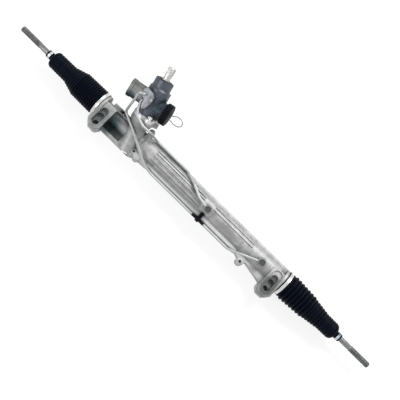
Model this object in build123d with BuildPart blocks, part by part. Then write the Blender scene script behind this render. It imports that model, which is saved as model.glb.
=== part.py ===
"""Hydraulic power steering rack with inner tie rods, as separate pieces.

X runs along the rack, Y points from the mounting bolts towards the valve side, Z is up.
The origin is midway between the two mounting bolts, on the face that they clamp against
the vehicle's frame.
"""
from build123d import *
from math import acos, cos, degrees, pi, radians, sin, sqrt, tan
import os

os.makedirs("parts", exist_ok=True)

# ---- driving dimensions, mm and degrees ---------------------------------------------
# rack line
rack_y = 47.0              # rack axis behind the bolt line
rack_z = 40.0              # rack axis above the mounting face
rack_radius = 14.0
rack_shift = 13.0          # the rack stands this far to the right of mid travel
ball_reach = 426.0         # ball centre from the middle of the rack
slide_clearance = 0.05     # running fit of ground shafts in bushes and bores

# mounting eyes
bolt_x = 305.0             # mounting bolt from the origin
bolt_hole_radius = 7.5
eye_width = 42.0
eye_top = 30.0             # top face above the rack axis
eye_thickness = 40.0
eye_back = 11.0            # rear edge behind the rack axis
eye_front_left = 18.0      # front edge before the bolt line
eye_front_right = 23.0
eye_corner = 11.0
pillar_radius = 12.5
pocket_length = 32.0       # from the bolt to the pocket's rear lobe
pocket_radius_left = 11.0
pocket_radius_right = 9.5
pocket_depth = 11.0
head_pocket_length = 18.0  # its deeper part, for the bolt's head
head_pocket_depth = 22.0
rim_radius = 14.5
rim_depth = 3.0
rim_pitch = 45.0

# casting
tube_radius = 27.0
tube_bore = 15.0
left_end = 338.0
right_end = 346.0
stop_x = 322.0             # where the ball sockets stop, either side
socket_bore = 21.5
seat_radius = 31.5
seat_length_left = 12.0
seat_length_right = 20.0
shoulder_radius = 34.0
shoulder_width = 7.0
strip_front = 36.7         # front strip's edge before the rack axis
strip_rear = 33.5
strip_height = 22.0
strip_left = -136.0
strip_right = 184.0
rear_strip_left = -168.0
rear_strip_right = 322.0
rear_wall = 30.5           # rear edge of the wall between the left eye and the tower
rib_width = 3.0
crown_rib_angles = (62, 78, 98, 118, 136)
panel_rib_angles = (62, 82)
rib_height = 2.6
gusset_pitch = 44.0
gusset_width = 4.0
panel_left = 76.0
panel_right = 183.0
panel_angle = 26.0
panel_depth = 2.4
panel_height = 22.0
brace_height = 18.0        # web between the cylinder and the right eye
wall_floor = -20.0         # wall between the left eye and the tower, from the rack axis
wall_height = 28.0

# deep pocket before the rack tube, between the left eye and the tower, and a small one behind
deep_left = -285.0
deep_right = -229.0
deep_front = -41.0
deep_rear = 13.0
deep_floor = -14.0
slender_radius = 19.5      # the tube's radius in that pocket
small_pocket = ((-284.0, 22.0), (-274.0, 28.0), (-264.0, 19.5))
wall_thickness = 5.0

# bosses for brackets, on the front strip, and a lug behind the tower
boss_right_x = 211.0
boss_right_y = 5.0
boss_left_x = -168.0
boss_left_y = 12.0
bracket_boss_radius = 10.5
hole_left_x = -182.5
hole_left_y = 17.0
hole_boss_radius = 7.0
lug_x = -184.0
lug_y = 38.0
lug_radius = 9.0
lug_top = 15.0
lug_height = 20.0
boss_top = 10.0            # top of the bracket bosses above the rack axis
boss_height = 22.0
bracket_hole_radius = 3.4
bracket_hole_depth = 16.0

# hydraulic cylinder
cylinder_left = 44.0
cylinder_radius = 20.0
seal_width = 10.0
bush_left = 276.0
piston_width = 12.0
port_left_x = 58.0
port_right_x = 251.0
port_angle = 15.0
port_boss_radius = 12.5
port_boss_reach = 32.0
port_drill_radius = 3.0

# rack teeth and pinion
module_size = 2.0
pinion_teeth = 8
pressure_angle = 20.0
profile_shift = 0.55
tip_shortening = 0.3
backlash = 0.18
tooth_line = 8.0           # rack's reference line above its axis
rack_teeth = 28
pinion_x = -211.0
lean = 11.0                # pinion axis leans to the left by this angle
rise = 32.0                # and climbs towards the rear by this one

# tower, measured along the pinion axis from where it crosses the rack
foot_end = -37.0
foot_radius = 21.0
head_start = 50.0
head_face = 63.0
head_radius = 31.0
tower_top = 171.0
barrel_radius = 28.5
collar_radius = 25.0
collar_start = 146.0
flange_thickness = 9.0
flange_bolt_circle = 36.0
flange_ear_radius = 11.0
flange_bolt_radius = 4.0
flange_bolt_depth = 16.0
flange_bolt_angles = (125.0, 215.0, 305.0)
screw_flange_radius = 8.0
screw_flange_thickness = 1.8
screw_head_radius = 6.6    # over the hexagon's corners
screw_head_height = 6.5
screw_head_clearance = 0.6
screw_pocket_height = 14.0
shaft_tip = 208.0

# valve block
arm_level = 110.0
arm_reach = 70.0
arm_lobe_radius = 13.0
port_pitch = 21.0
pressure_port_radius = 7.0
return_port_radius = 8.0
port_depth = 16.0
coil_level = 100.5
coil_radius = 23.0
coil_start = 30.0
coil_face = 38.0
cap_radius = 28.0
cap_thickness = 18.0
cap_ribs = 24
plate_level = 115.0
# the pipe plate's corners: to the right of the pinion axis, and up from its level
plate_corners = ((-26.0, 22.0), (9.0, 18.0), (10.0, -4.0), (2.0, -24.0), (-6.0, -25.0),
                 (-13.0, -5.0), (-28.0, 2.0))
plate_rounding = 4.0
plate_bolt_right = 1.5
plate_bolt_up = 5.0
plate_thickness = 11.0
pad_height = 31.0

# tie rods
ball_radius = 12.5
liner_thickness = 2.4
socket_radius = 19.0
socket_back = 28.0         # socket's inner face from the ball centre
socket_front = 13.0
rod_length = 202.0         # ball centre to the rod's tip
rod_radius = 7.5
neck_radius = 7.0
thread_radius = 8.0
thread_length = 66.0
clip_left = 101.0          # bellows clips from the ball centres
clip_right = 92.0

# bellows
bellows_wall = 2.0
cuff_radius = 35.0
cuff_gap = 0.4             # the left cuff from the eye's outer face
seat_gap = 0.3
small_cuff_radius = 10.4
small_cuff_length = 16.0

# pipes
pipe_radius = 4.0
wire_radius = 1.0

# ---- places worked out from them ----------------------------------------------------
X_DIR = Vector(1, 0, 0)
up_pinion = Vector(-sin(radians(lean)), cos(radians(lean)) * cos(radians(rise)),
                   cos(radians(lean)) * sin(radians(rise)))
to_pinion = Vector(0, -sin(radians(rise)), cos(radians(rise)))
to_left = to_pinion.cross(up_pinion) * -1
if to_left.X > 0:
    to_left = to_left * -1
pinion_pitch_radius = module_size * pinion_teeth / 2
pinion_offset = tooth_line + pinion_pitch_radius + profile_shift * module_size
rack_point = Vector(pinion_x, rack_y, rack_z)
pinion_point = rack_point + to_pinion * pinion_offset
ball_left = rack_shift - ball_reach
ball_right = rack_shift + ball_reach


def across(x):
    """Plane across the rack axis at x: its own x is Y and its own y is Z."""
    return Plane(origin=(x, rack_y, rack_z), x_dir=(0, 1, 0), z_dir=(1, 0, 0))


def tower(level, side=0.0, front=0.0):
    """Plane across the pinion axis: its own x points left, its own y to the front."""
    origin = pinion_point + up_pinion * level + to_left * side + to_pinion * front
    return Plane(origin=origin, x_dir=to_left, z_dir=up_pinion)


def tower_left(level, reach):
    """Plane facing left, this far from the pinion axis; its own y runs up the tower."""
    return Plane(origin=pinion_point + up_pinion * level + to_left * reach,
                 x_dir=to_pinion * -1, z_dir=to_left)


def tower_right(level, reach):
    """Plane facing right, this far from the pinion axis; its own y runs up the tower."""
    return Plane(origin=pinion_point + up_pinion * level - to_left * reach,
                 x_dir=to_pinion, z_dir=to_left * -1)


def tower_front(level, reach):
    """Plane facing the front of the tower; its own y runs up the tower."""
    return Plane(origin=pinion_point + up_pinion * level + to_pinion * reach,
                 x_dir=to_left * -1, z_dir=to_pinion)


def port_plane(x, reach):
    """Plane square to a cylinder port, this far from the rack axis."""
    out = Vector(0, -sin(radians(port_angle)), cos(radians(port_angle)))
    return Plane(origin=Vector(x, rack_y, rack_z) + out * reach, x_dir=(1, 0, 0), z_dir=out)


def disc(plane, radius, length, mode=Mode.ADD):
    """A round bar from a plane, along its normal."""
    with BuildSketch(plane, mode=Mode.PRIVATE) as profile:
        Circle(radius)
    extrude(profile.sketch, amount=length, mode=mode)


def ring(plane, outer, inner, length):
    """A plain tube from a plane, along its normal."""
    with BuildSketch(plane, mode=Mode.PRIVATE) as profile:
        Circle(outer)
        Circle(inner, mode=Mode.SUBTRACT)
    extrude(profile.sketch, amount=length)


def save(piece, name):
    piece.part.label = name
    export_step(piece.part, f"parts/{name}.step")


def flange_outline():
    """Round flange with an ear for each bolt, drawn into the open sketch."""
    Circle(head_radius)
    for angle in flange_bolt_angles:
        with Locations(Location((0, 0), angle)):
            with Locations((flange_bolt_circle, 0)):
                Circle(flange_ear_radius)
            with Locations((flange_bolt_circle / 2, 0)):
                Rectangle(flange_bolt_circle, 2 * flange_ear_radius)


def flange_holes():
    """The bolt holes of that flange, drawn into the open sketch."""
    for angle in flange_bolt_angles:
        with Locations(Location((0, 0), angle)):
            with Locations((flange_bolt_circle, 0)):
                Circle(flange_bolt_radius)


# ---- rack housing casting -----------------------------------------------------------
yoke_boss_radius = 20.0
yoke_reach = (rack_z - yoke_boss_radius * sin(radians(rise))) / cos(radians(rise))
yoke_radius = 15.0
yoke_plane = Plane(origin=rack_point, x_dir=(1, 0, 0), z_dir=to_pinion * -1)
eye_bottom = eye_top - eye_thickness
bearing_radius = 16.0
bearing_start = 24.0
bearing_width = 12.0
valve_bore = 19.0
foot_bore = 14.0
foot_bearing_start = -27.0
foot_bearing_width = 10.0
chamber_radius = 11.8


def eye_outline(sign, front):
    """Flat outline of one mounting eye, with its front corners cut."""
    length = rack_y + eye_back + front
    with BuildSketch(Plane.XY.offset(rack_z + eye_bottom), mode=Mode.PRIVATE) as outline:
        with Locations((sign * bolt_x, rack_y + eye_back - length / 2)):
            Rectangle(eye_width, length)
        chamfer(outline.vertices().sort_by(Axis.Y)[:2], eye_corner)
        fillet(outline.vertices().sort_by(Axis.Y)[2:], eye_corner / 2)
    return outline.sketch


with BuildPart() as rack_housing:
    # tube along the rack, with a seat for each bellows
    disc(across(-left_end + 6), tube_radius - 4, left_end + 6)
    disc(across(strip_left - 44), tube_radius, bolt_x + 44 - strip_left)
    disc(across(-left_end), seat_radius, seat_length_left + wall_thickness)
    disc(across(-left_end + seat_length_left), shoulder_radius, shoulder_width)
    disc(across(right_end - seat_length_right - wall_thickness), seat_radius,
         seat_length_right + wall_thickness)
    disc(across(right_end - seat_length_right - shoulder_width), shoulder_radius,
         shoulder_width)
    # strips along both sides of the tube
    with BuildSketch(across(strip_left)):
        with Locations(((strip_rear - strip_front) / 2, 0)):
            RectangleRounded(strip_front + strip_rear, strip_height, 5)
    extrude(amount=strip_right - strip_left)
    with BuildSketch(across(rear_strip_left)):
        with Locations((strip_rear / 2, 0)):
            RectangleRounded(strip_rear, strip_height, 5)
    extrude(amount=rear_strip_right - rear_strip_left)
    with BuildSketch(across(-bolt_x)):
        with Locations((rear_wall / 2, -2)):
            RectangleRounded(rear_wall, strip_height, 3)
    extrude(amount=bolt_x + rear_strip_left)
    # lug behind the tower, on a web from the tube
    with BuildSketch(Plane.XY.offset(rack_z + lug_top - lug_height)):
        with Locations((lug_x, rack_y + lug_y)):
            Circle(lug_radius)
        with Locations((lug_x, rack_y + lug_y / 2)):
            Rectangle(2 * lug_radius - 4, lug_y)
    extrude(amount=lug_height)
    # ribs along the crown and gussets between tube and strips
    with BuildSketch(across(strip_left)):
        for angle in crown_rib_angles:
            with Locations(Location((0, 0), angle)):
                with Locations((tube_radius, 0)):
                    Rectangle(rib_height * 2, rib_width)
    extrude(amount=panel_left - 40 - strip_left)
    with BuildSketch(across(panel_left - 4)):
        for angle in panel_rib_angles:
            with Locations(Location((0, 0), angle)):
                with Locations((tube_radius, 0)):
                    Rectangle(rib_height * 2, rib_width)
    extrude(amount=panel_right + 30 - panel_left)
    gussets = int((strip_right - strip_left) / gusset_pitch)
    for n in range(gussets + 1):
        with BuildSketch(across(strip_left + 6 + n * gusset_pitch)):
            with BuildLine():
                Polyline((-strip_front + 3, 0), (-tube_radius * 0.7, tube_radius * 0.72),
                         (tube_radius * 0.7, tube_radius * 0.72), (strip_rear - 3, 0),
                         (tube_radius * 0.7, -tube_radius * 0.8),
                         (-tube_radius * 0.7, -tube_radius * 0.8), close=True)
            make_face()
        extrude(amount=gusset_width)
    # mounting eyes with their pillars down to the mounting face
    for sign, front in ((-1, eye_front_left), (1, eye_front_right)):
        extrude(eye_outline(sign, front), amount=eye_thickness)
        with BuildSketch(Plane.XY):
            with Locations((sign * bolt_x, 0)):
                Circle(pillar_radius)
        extrude(amount=rack_z + eye_bottom + 5)
    # brace from the cylinder to the right eye, and wall from the left eye to the pinion
    with BuildSketch(Plane.XY.offset(rack_z - brace_height / 2)):
        with BuildLine():
            Polyline((strip_right - 8, rack_y - strip_front + 6), (boss_right_x, boss_right_y),
                     (strip_right + 42, rack_y - 34), (bolt_x - 8, rack_y - 49),
                     (bolt_x - 8, rack_y + 12), (strip_right, rack_y + 24), close=True)
        make_face()
    extrude(amount=brace_height)
    with BuildSketch(Plane.XY.offset(rack_z + wall_floor)):
        with BuildLine():
            Polyline((-bolt_x + 12, rack_y - 46), (pinion_x + 22, rack_y - 46),
                     (strip_left - 34, rack_y - 38), (strip_left + 4, rack_y - 36),
                     (strip_left + 4, rack_y + 26), (-bolt_x + 12, rack_y + 24), close=True)
        make_face()
    extrude(amount=wall_height)
    # pockets each side of the tube, with the tube slender in the deep one
    with BuildSketch(Plane.XY.offset(rack_z + deep_floor)):
        with Locations(((deep_left + deep_right) / 2, rack_y + (deep_front + deep_rear) / 2)):
            Rectangle(deep_right - deep_left, deep_rear - deep_front)
    extrude(amount=eye_thickness - deep_floor, mode=Mode.SUBTRACT)
    disc(across(deep_left - wall_thickness), slender_radius,
         deep_right - deep_left + 2 * wall_thickness)
    with BuildSketch(Plane.XY.offset(rack_z + deep_floor)):
        with BuildLine():
            Polyline(*[(x, rack_y + y) for x, y in small_pocket], close=True)
        make_face()
    extrude(amount=eye_thickness - deep_floor, mode=Mode.SUBTRACT)
    # pinion foot, tower and head
    disc(tower(foot_end), foot_radius, head_start - foot_end)
    with BuildSketch(tower(head_start - 22)):
        Circle(foot_radius)
    with BuildSketch(tower(head_start)):
        Circle(head_radius)
    loft()
    with BuildSketch(tower(head_start)):
        flange_outline()
    extrude(amount=head_face - head_start)
    # yoke boss, opposite the pinion
    disc(yoke_plane, yoke_boss_radius, yoke_reach)
    # cylinder port bosses and bracket bosses
    for x in (port_left_x, port_right_x):
        disc(port_plane(x, tube_radius - 8), port_boss_radius, port_boss_reach - tube_radius + 8)
    for x, y, radius in ((boss_right_x, boss_right_y, bracket_boss_radius),
                         (boss_left_x, boss_left_y, bracket_boss_radius),
                         (hole_left_x, hole_left_y, hole_boss_radius)):
        with BuildSketch(Plane.XY.offset(rack_z + boss_top - boss_height)):
            with Locations((x, y)):
                Circle(radius)
        extrude(amount=boss_height)
    # rack bore, cylinder bore and socket bores
    disc(across(-stop_x - 1), tube_bore, stop_x + cylinder_left + 2, Mode.SUBTRACT)
    disc(across(cylinder_left), cylinder_radius, stop_x - cylinder_left, Mode.SUBTRACT)
    disc(across(-left_end - 1), socket_bore, left_end - stop_x + 1, Mode.SUBTRACT)
    disc(across(stop_x), socket_bore, right_end - stop_x + 1, Mode.SUBTRACT)
    # pinion, bearing and valve bores
    disc(tower(foot_end - 12), foot_bore, foot_bearing_start + foot_bearing_width - foot_end + 12,
         Mode.SUBTRACT)
    disc(tower(foot_bearing_start), chamber_radius, bearing_start - foot_bearing_start + 1,
         Mode.SUBTRACT)
    disc(tower(bearing_start), bearing_radius, bearing_width + 4, Mode.SUBTRACT)
    disc(tower(bearing_start + bearing_width + 3), valve_bore,
         head_face - bearing_start - bearing_width, Mode.SUBTRACT)
    disc(yoke_plane, yoke_radius, yoke_reach + 1, Mode.SUBTRACT)
    # mounting eye pockets and bolt holes
    for sign, radius in ((-1, pocket_radius_left), (1, pocket_radius_right)):
        for length, depth in ((pocket_length, pocket_depth),
                              (head_pocket_length, head_pocket_depth)):
            with BuildSketch(Plane.XY.offset(rack_z + eye_top)):
                with Locations((sign * bolt_x, length / 2)):
                    SlotCenterToCenter(length, 2 * radius, rotation=90)
            extrude(amount=-depth, mode=Mode.SUBTRACT)
        with BuildSketch(Plane.XY.offset(-1)):
            with Locations((sign * bolt_x, 0)):
                Circle(bolt_hole_radius)
        extrude(amount=rack_z + eye_top, mode=Mode.SUBTRACT)
    with BuildSketch(Plane.XY.offset(rack_z + eye_top)):
        with Locations((bolt_x, pocket_length / 2 + 2)):
            SlotCenterToCenter(rim_pitch, 2 * rim_radius, rotation=90)
    extrude(amount=-rim_depth, mode=Mode.SUBTRACT)
    # flat panel on the crown of the cylinder
    panel_normal = Vector(0, -sin(radians(panel_angle)), cos(radians(panel_angle)))
    panel_centre = Vector((panel_left + panel_right) / 2, rack_y, rack_z)
    with BuildSketch(Plane(origin=panel_centre + panel_normal * (tube_radius - panel_depth),
                           x_dir=(1, 0, 0), z_dir=panel_normal)):
        RectangleRounded(panel_right - panel_left, panel_height, 4)
    extrude(amount=6, mode=Mode.SUBTRACT)
    # ports drilled into the cylinder, and the bolt holes of the head
    for x in (port_left_x, port_right_x):
        disc(port_plane(x, cylinder_radius - 4), port_drill_radius, 20, Mode.SUBTRACT)
        disc(port_plane(x, port_boss_reach - 9), 6.0, 10, Mode.SUBTRACT)
    with BuildSketch(tower(head_face)):
        flange_holes()
    extrude(amount=-flange_bolt_depth, mode=Mode.SUBTRACT)
    for x, y in ((boss_right_x, boss_right_y), (hole_left_x, hole_left_y)):
        with BuildSketch(Plane.XY.offset(rack_z + boss_top)):
            with Locations((x, y)):
                Circle(bracket_hole_radius)
        extrude(amount=-bracket_hole_depth, mode=Mode.SUBTRACT)
save(rack_housing, "rack_housing")

# ---- rack bar -----------------------------------------------------------------------
normal_pitch = pi * module_size
rack_pitch = normal_pitch / cos(radians(lean))
to_right = to_left * -1
tooth_slope = tan(radians(pressure_angle))
rack_left = ball_left + socket_back
rack_right = ball_right - socket_back
shift_pitches = round(rack_shift / rack_pitch)
toothed_length = rack_teeth * rack_pitch


def rack_gap(n):
    """Plane across the teeth at the nth gap from the pinion: x to the right, y outward."""
    origin = rack_point + to_pinion * tooth_line + to_right * n * normal_pitch
    return Plane(origin=origin, x_dir=to_right, z_dir=up_pinion * -1)


with BuildPart() as rack_bar:
    disc(across(rack_left), rack_radius, rack_right - rack_left)
    chamfer(rack_bar.faces().filter_by(Axis.X).edges(), 0.8)
    flat_centre = rack_point + X_DIR * shift_pitches * rack_pitch
    with BuildSketch(Plane(origin=flat_centre + to_pinion * (tooth_line + module_size),
                           x_dir=(1, 0, 0), z_dir=to_pinion)):
        Rectangle(toothed_length + rack_pitch, 3 * rack_radius)
    extrude(amount=rack_radius, mode=Mode.SUBTRACT)
    for n in range(rack_teeth + 1):
        root = 1.25 * module_size
        crown = 1.5 * module_size
        half = normal_pitch / 4
        with BuildSketch(rack_gap(n - rack_teeth / 2 + shift_pitches)):
            with BuildLine():
                Polyline((half - root * tooth_slope, -root), (half + crown * tooth_slope, crown),
                         (-half - crown * tooth_slope, crown),
                         (-half + root * tooth_slope, -root), close=True)
            make_face()
        extrude(amount=2 * rack_radius + 20, both=True, mode=Mode.SUBTRACT)
save(rack_bar, "rack_bar")

# ---- pinion, with the valve's sleeve ------------------------------------------------
base_radius = pinion_pitch_radius * cos(radians(pressure_angle))
pinion_root = pinion_pitch_radius + (profile_shift - 1.25) * module_size
pinion_tip = pinion_pitch_radius + (1 + profile_shift) * module_size - tip_shortening
tooth_width = module_size * (pi / 2 + 2 * profile_shift * tooth_slope) - backlash
face_half = 15.0
journal_radius = 10.0
foot_journal_radius = 8.0
head_journal_radius = 15.0
shaft_socket = 44.0        # bottom of the socket for the input shaft
pinion_head_top = 60.0
spool_radius = 12.0
shaft_radius = 11.0
spigot_radius = 10.0
bar_radius = 4.0
bar_bottom = -6.0
bar_top = 200.0
sleeve_top = 128.0


def involute(angle):
    """Involute function of an angle in radians."""
    return tan(angle) - angle


def half_tooth_angle(radius):
    """Half the pinion tooth's angle at a radius, in degrees."""
    widest = tooth_width / (2 * pinion_pitch_radius) + involute(radians(pressure_angle))
    if radius < base_radius:
        return degrees(widest)
    return degrees(widest - involute(acos(base_radius / radius)))


def pinion_tooth():
    """One tooth as a closed face, pointing along x."""
    steps = 4
    radii = [pinion_root - 1, base_radius]
    radii += [base_radius + (pinion_tip - base_radius) * n / steps for n in range(1, steps + 1)]
    side = [(r, half_tooth_angle(r)) for r in radii]
    outline = [(r * cos(radians(a)), r * sin(radians(a))) for r, a in side]
    mirrored = [(x, -y) for x, y in reversed(outline)]
    with BuildSketch(mode=Mode.PRIVATE) as tooth:
        with BuildLine():
            Polyline(*outline, *mirrored, close=True)
        make_face()
    return tooth.sketch


tooth = pinion_tooth()
with BuildPart() as pinion:
    with BuildSketch(tower(-face_half)):
        Circle(pinion_root)
        for n in range(pinion_teeth):
            add(tooth, rotation=n * 360 / pinion_teeth - 90)
    extrude(amount=2 * face_half)
    disc(tower(foot_bearing_start - 6), foot_journal_radius, -face_half - foot_bearing_start + 6)
    disc(tower(face_half), journal_radius - 1, bearing_start - face_half)
    disc(tower(bearing_start), journal_radius, bearing_width)
    disc(tower(bearing_start + bearing_width), head_journal_radius,
         pinion_head_top - bearing_start - bearing_width)
    disc(tower(bar_bottom), bar_radius + slide_clearance, shaft_socket - bar_bottom, Mode.SUBTRACT)
    disc(tower(shaft_socket), spigot_radius + slide_clearance, 20, Mode.SUBTRACT)
save(pinion, "pinion")

with BuildPart() as pinion_nut:
    with BuildSketch(tower(foot_bearing_start - 6)):
        RegularPolygon(12, 6)
        Circle(foot_journal_radius, mode=Mode.SUBTRACT)
    extrude(amount=6)
save(pinion_nut, "pinion_nut")

ring_levels = [pinion_head_top + 8 + n * 17 for n in range(4)]
with BuildPart() as valve_sleeve:
    ring(tower(pinion_head_top), valve_bore - 0.6, spool_radius + slide_clearance,
         sleeve_top - pinion_head_top)
    for level in ring_levels:
        with BuildSketch(tower(level)):
            Circle(valve_bore)
            Circle(valve_bore - 2.2, mode=Mode.SUBTRACT)
        extrude(amount=2.4, mode=Mode.SUBTRACT)
    for level in (ring_levels[0] + 9, ring_levels[1] + 9, ring_levels[2] + 9):
        with BuildSketch(Plane(origin=pinion_point + up_pinion * level, x_dir=up_pinion,
                               z_dir=to_pinion)):
            Circle(2.0)
        extrude(amount=valve_bore + 1, both=True, mode=Mode.SUBTRACT)
save(valve_sleeve, "valve_sleeve")

with BuildPart() as sleeve_rings:
    for level in ring_levels:
        ring(tower(level), valve_bore - slide_clearance, valve_bore - 2.2, 2.4)
save(sleeve_rings, "sleeve_rings")

# ---- input shaft and torsion bar ----------------------------------------------------
shaft_seal_start = 154.0
shaft_seal_width = 9.0
shaft_bearing_start = 140.0
shaft_bearing_width = 12.0
cover_start = 164.0
spline_start = shaft_tip - 24

with BuildPart() as input_shaft:
    disc(tower(shaft_socket + 0.5), spigot_radius, pinion_head_top - shaft_socket)
    disc(tower(pinion_head_top + 0.3), spool_radius, sleeve_top - pinion_head_top)
    disc(tower(sleeve_top), shaft_radius, spline_start - 8 - sleeve_top)
    disc(tower(spline_start - 8), shaft_radius - 1.4, 8)
    disc(tower(spline_start), shaft_radius - 0.5, shaft_tip - spline_start)
    chamfer(input_shaft.edges().sort_by(Axis((0, 0, 0), up_pinion))[-1], 1.2)
    # control grooves along the spool, and the flat that times the joint on the spline
    for n in range(6):
        with BuildSketch(tower(pinion_head_top + 14)):
            with Locations(Location((0, 0), n * 60)):
                with Locations((spool_radius, 0)):
                    Rectangle(1.6, 3.2)
        extrude(amount=sleeve_top - pinion_head_top - 28, mode=Mode.SUBTRACT)
    with BuildSketch(tower(spline_start - 8)):
        with Locations(((shaft_radius * 1.78), 0)):
            Rectangle(2 * shaft_radius, 3 * shaft_radius)
    extrude(amount=15, mode=Mode.SUBTRACT)
    disc(tower(shaft_socket), bar_radius + 0.5, bar_top - 14 - shaft_socket, Mode.SUBTRACT)
    disc(tower(shaft_socket), bar_radius, bar_top - shaft_socket, Mode.SUBTRACT)
save(input_shaft, "input_shaft")

with BuildPart() as torsion_bar:
    disc(tower(bar_bottom), bar_radius, 16)
    disc(tower(bar_bottom + 16), bar_radius - 1.2, bar_top - 30 - bar_bottom)
    disc(tower(bar_top - 14), bar_radius, 14)
save(torsion_bar, "torsion_bar")

# ---- bearings, seals and caps round the pinion --------------------------------------
with BuildPart() as pinion_bearing:
    ring(tower(bearing_start), bearing_radius, journal_radius + slide_clearance, bearing_width)
save(pinion_bearing, "pinion_bearing")

with BuildPart() as foot_bearing:
    ring(tower(foot_bearing_start), foot_bore, foot_journal_radius + slide_clearance,
         foot_bearing_width)
save(foot_bearing, "foot_bearing")

with BuildPart() as bottom_cap:
    disc(tower(foot_end), foot_bore, 2.2)
    with BuildSketch(tower(foot_end)):
        Circle(foot_bore - 4)
    extrude(amount=-1.6, taper=20)
save(bottom_cap, "bottom_cap")

with BuildPart() as shaft_bearing:
    ring(tower(shaft_bearing_start), shaft_radius + 4, shaft_radius + slide_clearance,
         shaft_bearing_width)
save(shaft_bearing, "shaft_bearing")

with BuildPart() as shaft_seal:
    ring(tower(shaft_seal_start), shaft_radius + 6, shaft_radius + slide_clearance,
         shaft_seal_width)
save(shaft_seal, "shaft_seal")

with BuildPart() as valve_cover:
    ring(tower(cover_start), collar_radius - 2, shaft_radius + 0.4, tower_top + 2 - cover_start)
    fillet(valve_cover.edges().filter_by(GeomType.CIRCLE).sort_by(
        Axis((0, 0, 0), up_pinion))[-2:], 1.0)
save(valve_cover, "valve_cover")

# ---- yoke that presses the rack against the pinion -----------------------------------
yoke_back = 25.6
spring_seat = 19.0
plug_front = yoke_back + 0.1
spring_end = plug_front + 3.0
spring_radius = 6.0
spring_wire = 1.1
plug_back = yoke_reach - 0.6


def yoke_level(distance):
    """Plane across the yoke, this far from the rack axis, facing away from the rack."""
    return Plane(origin=rack_point - to_pinion * distance, x_dir=(1, 0, 0),
                 z_dir=to_pinion * -1)


with BuildPart() as yoke:
    disc(yoke_level(3), yoke_radius - 0.1, yoke_back - 3)
    disc(across(pinion_x - 30), rack_radius + slide_clearance, 60, Mode.SUBTRACT)
    disc(yoke_level(spring_seat), spring_radius + spring_wire + 0.4, 10, Mode.SUBTRACT)
save(yoke, "yoke")

with BuildPart() as yoke_plug:
    disc(yoke_level(plug_front), yoke_radius, plug_back - plug_front)
    disc(yoke_level(plug_front), spring_radius + spring_wire + 0.4, 3, Mode.SUBTRACT)
    with BuildSketch(yoke_level(plug_back)):
        RegularPolygon(7, 6)
    extrude(amount=-3.5, mode=Mode.SUBTRACT)
save(yoke_plug, "yoke_plug")

spring_height = spring_end - spring_seat - 2 * spring_wire
with BuildPart() as yoke_spring:
    with BuildLine() as coil:
        Helix(spring_height / 3, spring_height, spring_radius,
              center=yoke_level(spring_seat + spring_wire).origin, direction=to_pinion * -1)
    with BuildSketch(Plane(origin=coil.line @ 0, z_dir=coil.line % 0)):
        Circle(spring_wire)
    sweep(path=coil.line, is_frenet=True)
save(yoke_spring, "yoke_spring")

# ---- cylinder parts -----------------------------------------------------------------
piston_x = (cylinder_left + seal_width + bush_left - seal_width) / 2 + rack_shift
piston_radius = cylinder_radius - slide_clearance
ring_depth = 2.5

with BuildPart() as rack_bush:
    ring(across(bush_left), cylinder_radius, rack_radius + slide_clearance, stop_x - bush_left)
save(rack_bush, "rack_bush")

with BuildPart() as rack_seals:
    ring(across(cylinder_left), cylinder_radius, rack_radius + slide_clearance, seal_width)
    ring(across(bush_left - seal_width), cylinder_radius, rack_radius + slide_clearance,
         seal_width)
save(rack_seals, "rack_seals")

with BuildPart() as piston:
    ring(across(piston_x - piston_width / 2), piston_radius - 0.2, rack_radius, piston_width)
    with BuildSketch(across(piston_x - 2)):
        Circle(cylinder_radius)
        Circle(cylinder_radius - ring_depth, mode=Mode.SUBTRACT)
    extrude(amount=4, mode=Mode.SUBTRACT)
save(piston, "piston")

with BuildPart() as piston_ring:
    ring(across(piston_x - 2), piston_radius, cylinder_radius - ring_depth, 4)
save(piston_ring, "piston_ring")

# ---- inner ball joints and tie rods --------------------------------------------------
liner_radius = ball_radius + liner_thickness
lip_radius = 12.0
lip_x = sqrt(liner_radius ** 2 - lip_radius ** 2)
seat_mouth = 5.0           # the seat's opening from the ball centre
rack_axis = Axis((0, rack_y, rack_z), (1, 0, 0))


def outward(sign):
    """Plane through one ball centre: its own x points out along the tie rod."""
    centre = ball_right if sign > 0 else ball_left
    return Plane(origin=(centre, rack_y, rack_z), x_dir=(sign, 0, 0), z_dir=(0, -sign, 0))


def turned(plane, outline):
    """A closed half outline turned about the rack axis."""
    with BuildSketch(plane, mode=Mode.PRIVATE) as profile:
        with BuildLine():
            Polyline(*outline, close=True)
        make_face()
    revolve(profile.sketch, axis=rack_axis)


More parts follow.
